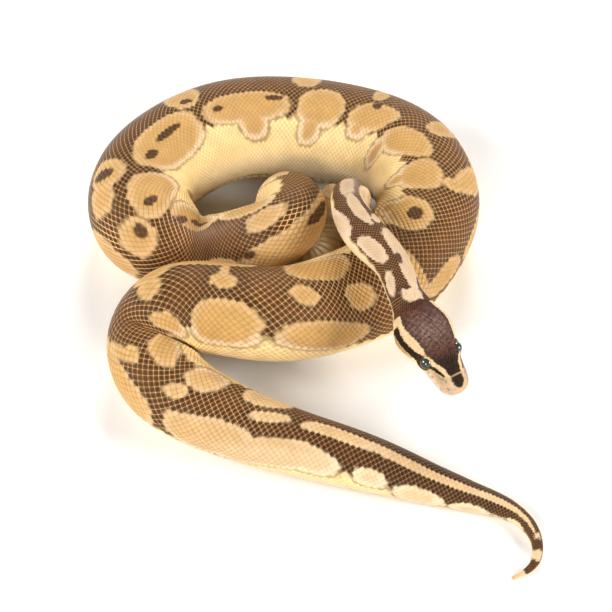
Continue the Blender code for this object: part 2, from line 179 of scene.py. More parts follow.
@dataclass
class BodyLine:
    """The body's middle, radius, bend and rolled frame at every millimetre from the snout.

    The inside of a bend fills no more than the share crease of the bend's radius.  Lengths that
    press on each other keep length_gap between them, and what lies within own_length radii along
    the line doesn't count as another length.
    """

    samples: int = 6001
    bend_window: int = 7
    crease: float = 0.88
    length_gap: float = 0.4
    own_length: float = 1.3
    touch_margin: float = 0.6
    squeeze_least: float = 0.3
    squeeze_steps: int = 60

    def __post_init__(self) -> None:
        """Lay out the line and carry the back's direction along it."""
        dense = natural_spline(CENTRE_LINE, self.samples)
        steps = np.linalg.norm(np.diff(dense[:, :3], axis=0), axis=1)
        run = np.concatenate([[0.0], np.cumsum(steps)])
        self.at = np.linspace(0.0, run[-1], int(round(run[-1])) + 1)
        rows = np.stack([np.interp(self.at, run, dense[:, i]) for i in range(4)], 1)
        self.middle, self.radius = rows[:, :3], rows[:, 3]
        self.along = unit(np.gradient(self.middle, axis=0))
        raw = np.gradient(self.along, self.at, axis=0)
        window = np.ones(self.bend_window) / self.bend_window
        self.bend = np.stack([np.convolve(raw[:, i], window, "same") for i in range(3)], 1)
        self.back, self.side = self._rolled_frame()

    def _rolled_frame(self) -> tuple[Rows, Rows]:
        """Carry the back's direction along the line and roll it.

        Returns:
            The directions of the back and of the animal's left side at every sample.
        """
        up = np.array([0.0, 0.0, 1.0])
        carried = [unit(up - up.dot(self.along[0]) * self.along[0])]
        for i in range(1, len(self.at)):
            carried.append(self._carry(carried[-1], i))
        back = np.array(carried)
        side = np.cross(self.along, back)
        angle = np.radians(eased(ROLL_STATIONS, self.at))[:, None]
        rolled = back * np.cos(angle) + side * np.sin(angle)
        return rolled, np.cross(self.along, rolled)

    def _carry(self, back: Rows, i: int) -> Rows:
        """Carry the back's direction one step on by two reflections, so that it never twists.

        Args:
            back: The back's direction at the step's start.
            i: The number of the sample at the step's end.

        Returns:
            The back's direction at the step's end.
        """
        step = self.middle[i] - self.middle[i - 1]
        mirrored = back - 2 / step.dot(step) * step.dot(back) * step
        heading = self.along[i - 1] - 2 / step.dot(step) * step.dot(self.along[i - 1]) * step
        turn = self.along[i] - heading
        weight = turn.dot(turn)
        if weight > 1e-14:
            mirrored = mirrored - 2 / weight * turn.dot(mirrored) * turn
        return unit(mirrored - mirrored.dot(self.along[i]) * self.along[i])

    def sample(self, name: str, at: Rows) -> Rows:
        """Read one field of the line between its samples.

        Args:
            name: The field: middle, radius, along, bend, back or side.
            at: Distances from the snout.

        Returns:
            One number or one row for each distance.
        """
        values = getattr(self, name)
        if values.ndim == 1:
            return np.interp(at, self.at, values)
        return np.stack([np.interp(at, self.at, values[:, i]) for i in range(3)], -1)

    def reach(self, at: float, out: Rows) -> Rows:
        """Return how far the body reaches in each direction of one section.

        Args:
            at: The section's distance from the snout.
            out: Unit directions away from the section's middle.

        Returns:
            Distances, less where the body bends, rests or lies against itself.
        """
        middle, radius = self.sample("middle", at), float(self.sample("radius", at))
        bend = self.sample("bend", at)
        far = np.minimum(radius, self.crease / np.maximum(out @ bend, 1e-6))
        far = np.minimum(far, middle[2] / np.maximum(-out[:, 2], 1e-6))
        away = np.abs(self.at - at) > self.own_length * radius
        near = np.linalg.norm(self.middle - middle, axis=1) < self.radius + radius + self.touch_margin
        others = np.nonzero(away & near)[0][::2]
        if len(others) == 0:
            return far
        for j in np.nonzero(self._room(middle, radius, out, far, others) < self.length_gap)[0]:
            tries = np.linspace(far[j], far[j] * self.squeeze_least, self.squeeze_steps)
            line_out = np.repeat(out[j][None], len(tries), 0)
            room = self._room(middle, radius, line_out, tries, others)
            clear = np.nonzero(room >= self.length_gap)[0]
            far[j] = tries[clear[0]] if len(clear) else tries[-1]
        return far

    def _room(self, middle: Rows, radius: float, out: Rows, far: Rows, others: Rows) -> Rows:
        """Measure the room that points off one section leave to other lengths of the body.

        Args:
            middle: The section's middle.
            radius: The section's full radius.
            out: Unit directions away from the middle.
            far: How far the points lie along them.
            others: Numbers of the samples that may touch the section.

        Returns:
            For each point, the gap to the nearest other length plus the point's own retreat, so
            that both lengths give way alike.
        """
        points = middle + far[:, None] * out
        apart = np.linalg.norm(points[:, None] - self.middle[others][None], axis=2)
        return (apart - self.radius[others]).min(axis=1) - (far - radius)


@dataclass
class HeadForm:
    """The head's outline in its own axes: X forward from the nape, Y left, Z up.

    The folds are heights over the head's surface, and depths below it.
    """

    line: BodyLine
    depth: float = 0.5
    eye_rim_radius: float = 3.05
    eye_rim_height: float = 1.0
    socket_depth: float = 1.6
    brow_height: float = 0.45
    mouth_groove: float = 0.55
    lip_height: float = 0.28
    nostril_depth: float = 0.35
    pits: tuple = (41.5, 44.3, 47.0, 49.6, 51.8)
    pit_depth: float = 0.5
    chin_groove: float = 0.45
    snout_hollow: float = 0.35
    crown_hollow: float = 0.4
    nape_share: float = 0.35

    def __post_init__(self) -> None:
        """Place the head's axes."""
        self.nape = self.line.sample("middle", NAPE)
        forward = unit(self.line.middle[0] - self.nape)
        back = self.line.sample("back", NAPE / 2)
        back = unit(back - back.dot(forward) * forward)
        self.axes = np.stack([forward, np.cross(back, forward), back])

    def to_world(self, points: Rows) -> Rows:
        """Take points from the head's axes to the model's."""
        return self.nape + points @ self.axes

    def to_head(self, points: Rows) -> Rows:
        """Take points from the model's axes to the head's."""
        return (points - self.nape) @ self.axes.T

    def rings(self, forward: Rows, columns: int, first: Rows) -> Rows:
        """Loft the head's sections.

        Args:
            forward: Distances in front of the nape, rising.
            columns: Points round each section.
            first: The body's own section at the nape, in the head's axes.

        Returns:
            Points in the head's axes, one row of columns for each distance.
        """
        angle = np.arange(columns) * 2 * np.pi / columns
        across, up = np.sin(angle), np.cos(angle)
        knots = [first[:, 1:]]
        for _, half, level, crown, throat, square in HEAD_SECTIONS:
            height = np.where(up > 0, crown - level, level - throat)
            y = half * np.sign(across) * np.abs(across) ** (2 / square)
            z = level + height * np.sign(up) * np.abs(up) ** (2 / square)
            knots.append(np.stack([y, z], 1))
        at = np.array([0.0] + [row[0] for row in HEAD_SECTIONS])
        last = at[-1]
        inner = np.minimum(forward, last)
        flat = cubic_through(at, np.array(knots).reshape(len(at), -1), inner)
        flat = flat.reshape(len(forward), columns, 2)
        over = np.clip((forward - last) / (HEAD_TIP - last), 0.0, 1.0)
        level = np.array([0.0, HEAD_SECTIONS[-1][2]])
        flat = level + (flat - level) * np.sqrt(1 - over**2)[:, None, None]
        ahead = np.broadcast_to(forward[:, None, None], flat.shape[:2] + (1,))
        shape = np.concatenate([ahead, flat], 2)
        return self.sculpt(shape)

    @staticmethod
    def lip(forward: Rows) -> Rows:
        """Return the height of the mouth line above the head's axis."""
        (x0, z0), (x1, z1) = MOUTH_CORNER, MOUTH_FRONT
        return z0 + (z1 - z0) * (forward - x0) / (x1 - x0)

    def sculpt(self, shape: Rows) -> Rows:
        """Sink the skin by the coat's depth and model the eyes' rims, the lips and the folds.

        Args:
            shape: Points in the head's axes, one row for each section.

        Returns:
            The points, moved along the surface's own directions.
        """
        ahead = np.gradient(shape, axis=0)
        around = np.roll(shape, -1, 1) - np.roll(shape, 1, 1)
        out = unit(np.cross(ahead, around))
        rise = self.eye_folds(shape) + self.mouth_folds(shape) + self.crown_folds(shape)
        share = self.nape_share + (1 - self.nape_share) * ramp(shape[..., 0], 0.0, 6.0)
        return shape + out * ((rise - self.depth) * share)[..., None]

    def eye_folds(self, local: Rows) -> Rows:
        """Model the raised rim and the socket of each eye, and the brow over it.

        Args:
            local: Points in the head's axes.

        Returns:
            Heights over the plain surface.
        """
        x, y, z = np.moveaxis(local, -1, 0)
        to_eye = np.hypot(x - EYE_CENTRE[0], z - EYE_CENTRE[2])
        rim = self.eye_rim_height * bell(to_eye - self.eye_rim_radius, 0.95)
        socket = self.socket_depth * ramp(to_eye, 2.3, 1.2)
        brow = bell(x - 33.0, 6.5) * bell(z - 6.2, 1.7) * ramp(np.abs(y), 3.0, 7.5)
        return np.where(np.abs(y) > 4.0, rim - socket, 0.0) + self.brow_height * brow

    def mouth_folds(self, local: Rows) -> Rows:
        """Model the closed mouth between full lips, the nostrils, the lip pits and the chin.

        Args:
            local: Points in the head's axes.

        Returns:
            Heights over the plain surface.
        """
        x, y, z = np.moveaxis(local, -1, 0)
        over = z - self.lip(x)
        full = self.lip_height * bell(np.abs(over) - 1.5, 0.9)
        rise = ramp(x, 12.0, 15.0) * (full - self.mouth_groove * bell(over, 0.34))
        nostril = bell(x - 53.6, 0.75) * bell(z - 1.0, 0.6) * ramp(np.abs(y), 3.0, 5.0)
        pits = sum(bell(x - pit, 0.55) for pit in self.pits) * bell(over - 1.75, 0.5)
        chin = ramp(-z, 3.0, 5.0) * bell(y, 0.5) * ramp(x, 14.0, 20.0) * ramp(x, 52.0, 46.0)
        return (
            rise - self.nostril_depth * nostril - self.pit_depth * pits - self.chin_groove * chin
        )

    def crown_folds(self, local: Rows) -> Rows:
        """Model the shallow hollows along the middle of the snout and of the crown.

        Args:
            local: Points in the head's axes.

        Returns:
            Heights over the plain surface, none of them above it.
        """
        x, y, z = np.moveaxis(local, -1, 0)
        snout = ramp(x, 38.0, 46.0) * bell(z - 4.6, 2.2) * bell(y, 2.4)
        crown = bell(x - 26.0, 6.0) * bell(y, 2.2) * ramp(z, 2.0, 5.0)
        return -self.snout_hollow * snout - self.crown_hollow * crown


@dataclass
class SkinForm:
    """The skin's surface as rings from the snout to the tail, all with the same columns.

    It lies a depth under the solids' surface, or a share of the radius where the tail is thin.
    Creases are softened only where a ring is pressed in under the share pressed_share.
    """

    line: BodyLine
    head: HeadForm
    depth: float = 0.6
    depth_share: float = 0.3
    columns: int = 192
    ring_step: float = 1.6
    head_step: float = 0.42
    head_crowding: float = 0.93
    floor_height: float = 0.35
    lowest: float = 0.03
    tip_rings: int = 5
    graft_rings: int = 12
    graft_share: float = 0.8
    pressed_share: float = 0.985
    soften_rounds: int = 3
    soften_most: float = 0.15

    def __post_init__(self) -> None:
        """Work out every ring and the surface's directions."""
        self.angle = np.arange(self.columns) * 2 * np.pi / self.columns
        count = int(round((self.line.at[-1] - NAPE) / self.ring_step)) + 1
        body_at = np.linspace(NAPE, self.line.at[-1], count)
        body = np.array([self.body_ring(at) for at in body_at])
        body = self._soften(body, body_at)
        tip_at, tip = self._tail_tip()
        first = self.head.to_head(self.full_ring(NAPE))
        share = np.linspace(0.0, 1.0, int(HEAD_TIP / self.head_step))
        forward = HEAD_TIP * share**self.head_crowding
        rings = self.head.rings(forward, self.columns, first)[:0:-1]
        head = self.head.to_world(rings)
        head[-self.graft_rings :] = self._graft(head[-self.graft_rings :], body[0])
        self.at = np.concatenate([NAPE - forward[:0:-1], body_at, tip_at])
        self.points = np.concatenate([head, body, tip])
        self.points[..., 2] = np.maximum(self.points[..., 2], self.floor_height)
        self.head_rows = len(head)
        self.normals = self._normals()

    def _graft(self, head: Rows, ring: Rows) -> Rows:
        """Let the head's last rings run into the body's first one."""
        share = np.linspace(0.0, 1.0, len(head))[:, None, None] ** 2
        return head + self.graft_share * share * (ring - head[-1])

    def directions(self, at: float) -> Rows:
        """Return the unit directions of one section's columns."""
        back, side = self.line.sample("back", at), self.line.sample("side", at)
        return np.outer(np.cos(self.angle), back) + np.outer(np.sin(self.angle), side)

    def full_ring(self, at: float) -> Rows:
        """Return one section at the solids' own size."""
        out = self.directions(at)
        return self.line.sample("middle", at) + self.line.reach(at, out)[:, None] * out

    def body_ring(self, at: float) -> Rows:
        """Sink one section by the coat's depth.

        Args:
            at: The section's distance from the snout.

        Returns:
            The section's points, less sunk where the tail is thin.
        """
        out = self.directions(at)
        depth = min(self.depth, self.depth_share * float(self.line.sample("radius", at)))
        far = self.line.reach(at, out) - depth
        return self.line.sample("middle", at) + far[:, None] * out

    def _soften(self, body: Rows, at: Rows) -> Rows:
        """Ease the creases where lengths of the body press together.

        Args:
            body: The rings of the body.
            at: Their distances from the snout.

        Returns:
            The rings, smoothed where they are pressed in and the same elsewhere.
        """
        middle = self.line.sample("middle", at)[:, None]
        full = np.maximum(self.line.sample("radius", at) - self.depth, 0.7)[:, None, None]
        far = np.linalg.norm(body - middle, axis=2, keepdims=True)
        pressed = far < self.pressed_share * full
        smooth = far.copy()
        for _ in range(self.soften_rounds):
            around = (np.roll(smooth, 1, 1) + 2 * smooth + np.roll(smooth, -1, 1)) / 4
            along = around.copy()
            along[1:-1] = (around[:-2] + 2 * around[1:-1] + around[2:]) / 4
            smooth = np.minimum(np.where(pressed, along, smooth), far + self.soften_most)
        return middle + (body - middle) * smooth / far

    def _tail_tip(self) -> tuple[Rows, Rows]:
        """Round off the end of the tail.

        Returns:
            The distances of the added rings from the snout, and their points.
        """
        end = self.line.at[-1]
        reach = float(self.line.sample("radius", end)) - 0.25
        turn = np.linspace(0, np.pi / 2, self.tip_rings + 1)[1:]
        middle, heading = self.line.sample("middle", end), self.line.along[-1]
        out = self.directions(end)
        rings = [middle + heading * reach * np.sin(a) + out * reach * max(np.cos(a), 0.02) for a in turn]
        return end + reach * np.sin(turn), np.array(rings)

    def _normals(self) -> Rows:
        """Work out the surface's directions.

        Returns:
            The outward unit normal at every point of the grid.
        """
        along = np.gradient(self.points, axis=0)
        around = np.roll(self.points, -1, 1) - np.roll(self.points, 1, 1)
        return unit(np.cross(around, along))

    def grid(self, values: Rows, at: Rows, angle: Rows) -> Rows:
        """Read a field of the grid between its rings and columns.

        Args:
            values: One row for each point of the grid.
            at: Distances from the snout.
            angle: Angles round the body, in radians from the back.

        Returns:
            One row for each place.
        """
        row = np.interp(at, self.at, np.arange(len(self.at)))
        i = np.clip(row.astype(int), 0, len(self.at) - 2)
        u = (row - i)[..., None]
        column = (angle / (2 * np.pi) * self.columns) % self.columns
        j = np.floor(column).astype(int) % self.columns
        v = (column - np.floor(column))[..., None]
        k = (j + 1) % self.columns
        low = values[i, j] * (1 - v) + values[i, k] * v
        high = values[i + 1, j] * (1 - v) + values[i + 1, k] * v
        return low * (1 - u) + high * u

    def on(self, at: Rows, angle: Rows, height: Rows) -> Rows:
        """Return points at a height over the skin.

        Args:
            at: Distances from the snout.
            angle: Angles round the body, in radians from the back.
            height: Heights over the skin.

        Returns:
            Points in the model's axes, never under the floor.
        """
        base = self.grid(self.points, at, angle)
        out = unit(self.grid(self.normals, at, angle))
        placed = base + out * np.asarray(height)[..., None]
        placed[..., 2] = np.maximum(placed[..., 2], self.lowest)
        return placed


@dataclass(frozen=True)
class Patch:
    """One marking: a rounded shape at a distance from the snout and an angle round the body.

    The angle is in degrees, and so is its half size; lean is the shift towards the tail, in
    millimetres, for each degree of angle.
    """

    at: float
    angle: float
    half_at: float
    half_angle: float
    lean: float = 0.0
    power: float = 2.2


def patches(*rows: tuple) -> tuple[Patch, ...]:
    """Return patches from short rows of their numbers."""
    return tuple(Patch(*row) for row in rows)


# Pale patches of the neck, from the nape to where it dips between the coils.
NECK_PATCHES = patches(
    (51.3, 4, 3.1, 33, -0.03, 3.0), (60.5, -49, 5.8, 21, 0.10), (80.5, -42, 9.3, 27, -0.12),
    (104.5, -78, 9.0, 34, -0.10), (70.0, 44, 17.5, 41, 0.0, 3.2), (105.0, 0, 13.0, 20, -0.12),
    (96.0, 40, 4.0, 20, 0.1), (123.5, -4, 7.4, 25, 0.05, 3.0), (118.0, 72, 20.0, 34, 0.1),
    (146.0, 88, 14.0, 34),
)
# Middle of the body, on the inner limb: the back's blotches and the two sides'.
INNER_PATCHES = patches(
    (305.0, -45, 21.0, 40, 0.1, 2.6), (312.5, 30, 7.5, 18), (320.0, 71, 19.0, 20),
    (361.0, 62, 21.0, 22, -0.20), (344.0, -52, 20.0, 46), (384.0, -2, 6.5, 21),
    (389.0, -60, 9.5, 28, -0.08), (400.5, -12, 5.5, 18), (408.5, -2, 6.2, 24),
    (394.0, 48, 11.8, 31, 0.06), (433.0, 50, 23.5, 29, 0.0, 2.6), (457.5, 5, 8.3, 24),
    (486.0, 47, 26.0, 19, 0.0, 2.4), (489.5, 66, 9.0, 22, 0.10),
)
# Outer coil: the side that faces the middle, and the back.
COIL_PATCHES = patches(
    (518.0, 0, 7.2, 19), (528.5, 45, 12.8, 26, -0.05), (524.0, 72, 6.5, 18, -0.1),
    (556.0, 2, 3.6, 17), (557.5, 42, 12.0, 22, -0.25), (551.5, 62, 5.5, 12),
    (585.0, -4, 4.6, 22), (584.0, 48, 13.0, 24, -0.32), (570.0, 78, 5.0, 22, -0.1),
    (608.5, -20, 6.2, 26, 0.16), (614.5, 8, 3.0, 14), (611.0, 47, 10.6, 27),
    (611.0, 74, 6.0, 16), (638.0, 46, 11.0, 28), (636.5, 72, 5.5, 18),
    (624.0, -54, 12.0, 12, 0.0, 3.0), (650.0, -40, 11.5, 14, 0.1, 2.8),
    (660.0, -6, 2.2, 34, -0.04), (656.0, 62, 3.0, 28, -0.1),
)
# Front loop: the back's diamonds and both sides.
LOOP_PATCHES = patches(
    (690.0, 2, 9.6, 16), (723.0, -1, 7.0, 14.5, 0.0, 1.6), (756.0, 0, 6.2, 11.5),
    (757.0, 21, 2.2, 13), (712.0, -50, 21.5, 22, -0.36, 2.6), (754.5, -56, 15.5, 31, -0.02, 2.6),
    (707.0, 46, 20.5, 24, -0.22, 2.6), (764.0, 62, 22.0, 32, -0.05, 3.2),
    (785.0, 4, 4.0, 17), (784.0, 30, 5.5, 14), (818.0, -4, 4.2, 10), (814.5, 12, 4.5, 16, -0.3),
    (822.0, 54, 17.5, 38, 0.0, 2.6), (782.5, -52, 5.5, 24, 0.25), (823.0, -46, 10.0, 22, 0.12),
    (842.5, -14, 4.6, 13, -0.15), (852.0, -50, 10.8, 25, -0.10),
)
# Rear limb and tail: the long pale flank, the stripe down the back and the ovals.
REAR_PATCHES = patches(
    (885.0, -44, 12.8, 25, 0.06), (890.5, 0, 10.2, 10.5), (866.0, 46, 21.5, 37, 0.2, 2.5),
    (895.0, 66, 30.0, 30, 0.0, 2.5), (916.0, 70, 14.5, 26), (926.0, 4, 19.0, 13.5, 0.0, 3.5),
    (975.0, 1, 36.0, 13.0, 0.0, 4.0), (1016.0, 0, 19.0, 15.0, 0.0, 4.0),
    (946.0, 68, 8.8, 21), (971.5, 78, 12.8, 32), (998.0, 84, 10.5, 30), (918.0, -78, 10.0, 26),
    (946.0, -80, 9.5, 26), (972.0, -82, 10.0, 28), (998.0, -84, 10.0, 30),
)
TAIL_PATCHES = patches(
    (1024.0, 78, 6.0, 26), (1022.0, -84, 7.0, 30), (1047.0, 10, 2.8, 70, 0.0, 3.5),
    (1061.5, 0, 3.6, 180, 0.0, 4.0), (1037.0, -14, 1.8, 30),
)
# Dark spots inside the pale patches.
SPOTS = patches(
    (299.0, -29, 5.0, 12, 0.2), (322.0, -17, 2.4, 7), (357.5, 58, 9.0, 6, -0.55),
    (373.0, 47, 2.8, 7, -0.2), (384.5, 6, 2.5, 7, 0.1), (408.5, -6, 2.1, 14),
    (390.0, 38, 1.8, 8), (419.5, 46, 4.2, 6, 0.25), (437.5, 42, 8.6, 4.6, 0.0),
    (457.5, 17, 3.0, 5, 0.15), (470.0, 44, 3.4, 3.6), (502.5, 38, 4.6, 3.6),
    (557.5, 24, 2.3, 7, -0.05), (637.0, 38, 3.9, 8.5), (70.0, 10, 2.6, 12),
    (102.0, 44, 2.0, 14, 0.1), (55.5, 57, 3.4, 14, 0.25),
)


# Where the dark ground of the back ends, in degrees, at distances from the snout.
LOWER_EDGE_AT = (45.0, 74.0, 96.0, 130.0, 280.0, 400.0, 640.0, 700.0, 860.0, 930.0, 1010.0, 1064.0)
LOWER_EDGE_ANGLE = (88.0, 84.0, 70.0, 66.0, 64.0, 60.0, 62.0, 66.0, 64.0, 74.0, 80.0, 90.0)
# Strength of the pale lines between the scales at distances from the snout.
LINE_AT = (45.0, 54.0, 58.0, 90.0, 300.0, 380.0, 840.0, 920.0, 1000.0, 1064.0)
LINE_SHARE = (0.12, 0.25, 0.60, 0.65, 0.9, 1.0, 1.0, 0.6, 0.5, 0.4)
# Share of cream in the pale patches at distances from the snout.
PALE_AT = (54.0, 120.0, 180.0, 380.0, 400.0, 820.0, 860.0, 925.0, 1064.0)
PALE_SHARE = (0.62, 0.55, 0.25, 0.12, 0.10, 0.05, 0.30, 0.42, 0.5)
# Angle of the crown's middle line at distances from the snout.
CROWN_AT = (0.0, 9.0, 18.0, 24.0, 30.0, 36.0, 42.0, 46.0)
CROWN_ANGLE = (7.0, 7.5, 8.5, 4.5, 3.5, 0.0, -6.0, -8.0)
# The head's own markings end here, and the eye's distance from the snout and angle.
HEAD_END = 45.0
EYE_AT = (18.2, 71.5)
# Length on the head's surface of one degree.
HEAD_DEGREE = 0.1658


@dataclass(frozen=True)
class Band:
    """One stripe of the head, alike on both sides.

    Its inner and outer edges are angles from the crown's middle line, in degrees, at distances
    from the snout.
    """

    at: tuple
    inner: tuple
    outer: tuple
    soft: float = 0.35

    def strength(self, at: Rows, aside: Rows) -> Rows:
        """Return how strongly the stripe shows.

        Args:
            at: Distances from the snout.
            aside: Angles from the crown's middle line, in degrees.

        Returns:
            Strengths from 0 outside to 1 inside.
        """
        over = (aside - np.interp(at, self.at, self.inner)) * HEAD_DEGREE
        under = (np.interp(at, self.at, self.outer) - aside) * HEAD_DEGREE
        ends = np.minimum(at - self.at[0], self.at[-1] - at)
        inside = np.minimum(np.minimum(over, under), ends)
        return ramp(inside, -self.soft, self.soft)


CAP = Band(
    (6.0, 9.2, 11.2, 12.2, 14.7, 18.0, 21.0, 24.0, 30.0, 35.0, 39.0, 42.0, 46.0), (-30.0,) * 13,
    (18.0, 21.5, 23.5, 28.0, 37.0, 41.5, 45.0, 37.5, 35.5, 38.5, 43.5, 45.0, 45.0),
)
SNOUT_PATCH = Band(
    (-1.4, 0.2, 1.8, 4.0, 6.1), (-30.0,) * 5, (8.0, 17.0, 21.0, 21.0, 15.0), 1.0,
)
FRONT_STRIPE = Band(
    (5.8, 7.2, 9.2, 11.2, 12.2, 14.7, 17.2, 19.5), (17.0, 19.5, 21.5, 23.5, 28.0, 37.0, 40.0, 41.0),
    (22.0, 25.5, 31.5, 36.0, 39.5, 47.5, 51.0, 47.0),
)
BACK_STRIPE = Band(
    (21.8, 24.0, 29.0, 34.0, 39.0, 45.5), (43.0, 37.5, 35.6, 38.0, 43.5, 45.0),
    (48.0, 54.5, 56.6, 57.2, 57.2, 57.0),
)
ARM = Band((41.3, 43.0, 45.5), (45.0, 45.0, 45.0), (180.0, 180.0, 180.0))
FRONT_LINE = Band(
    (7.0, 9.0, 10.2, 12.2, 14.7, 17.0, 21.0), (28.0, 32.0, 36.0, 40.0, 48.0, 51.0, 52.0),
    (38.0, 46.0, 51.0, 58.0, 66.0, 74.0, 80.0), 0.45,
)
EYE_STRIPE = Band(
    (20.5, 22.0, 24.0, 29.0, 34.0, 37.0, 39.0, 41.6), (46.0, 48.0, 54.0, 56.0, 56.5, 57.5, 57.0, 56.0),
    (84.0, 84.0, 82.0, 80.5, 80.0, 83.0, 90.0, 104.0),
)
CHEEK = Band(
    (23.5, 27.0, 29.0, 32.0, 34.0, 37.0, 39.0, 41.8), (66.0, 68.0, 68.0, 68.0, 68.0, 70.0, 77.0, 92.0),
    (86.0, 90.0, 94.0, 97.0, 99.0, 103.0, 106.0, 108.0), 0.6,
)
# How much further out the stripes lie on the left side of the crown, in degrees.
LEFT_AT = (15.0, 21.0, 25.0, 35.0, 42.0, 46.0)
LEFT_MORE = (0.0, 8.0, 12.0, 12.0, 9.0, 5.0)
# Red-brown flecks by the nostril and on the upper lip.
FLECKS = patches(
    (6.8, 45, 1.2, 6), (5.2, 38, 1.1, 6), (8.4, 52, 0.7, 4), (10.5, 82, 0.9, 5), (13.6, 84, 0.7, 4),
    (3.0, 84, 0.8, 5), (24.3, 70, 1.4, 4), (16.0, 86, 0.6, 3), (1.2, 50, 0.9, 6),
)


def unseen_patches() -> tuple[Patch, ...]:
    """Return the patches of the stretches and sides that lie out of sight.

    Returns:
        Flank blotches at an even, slightly varied spacing, and bars on the back of the stretch
        that runs under the coils.
    """
    draws = np.random.default_rng(7)
    made = []
    for side, first, last in ((-1, 158.0, 280.0), (-1, 420.0, 600.0), (1, 158.0, 280.0)):
        at = first
        while at < last:
            half = 11.0 + 3.0 * draws.random()
            lean = side * draws.uniform(-0.12, 0.12)
            made.append(Patch(at, side * 56.0, half, 30.0, lean, 2.4))
            at += 2 * half + 3.5
    for at in np.arange(164.0, 285.0, 25.0):
        made.append(Patch(float(at), draws.uniform(-6.0, 6.0), 6.0, 16.0))
    return tuple(made)


def unseen_spots(blotches: tuple[Patch, ...]) -> tuple[Patch, ...]:
    """Return a dark spot in every other unseen flank blotch."""
    flank = [patch for patch in blotches if abs(patch.angle) > 40]
    return tuple(Patch(patch.at, patch.angle * 0.72, 3.2, 5.5) for patch in flank[::2])


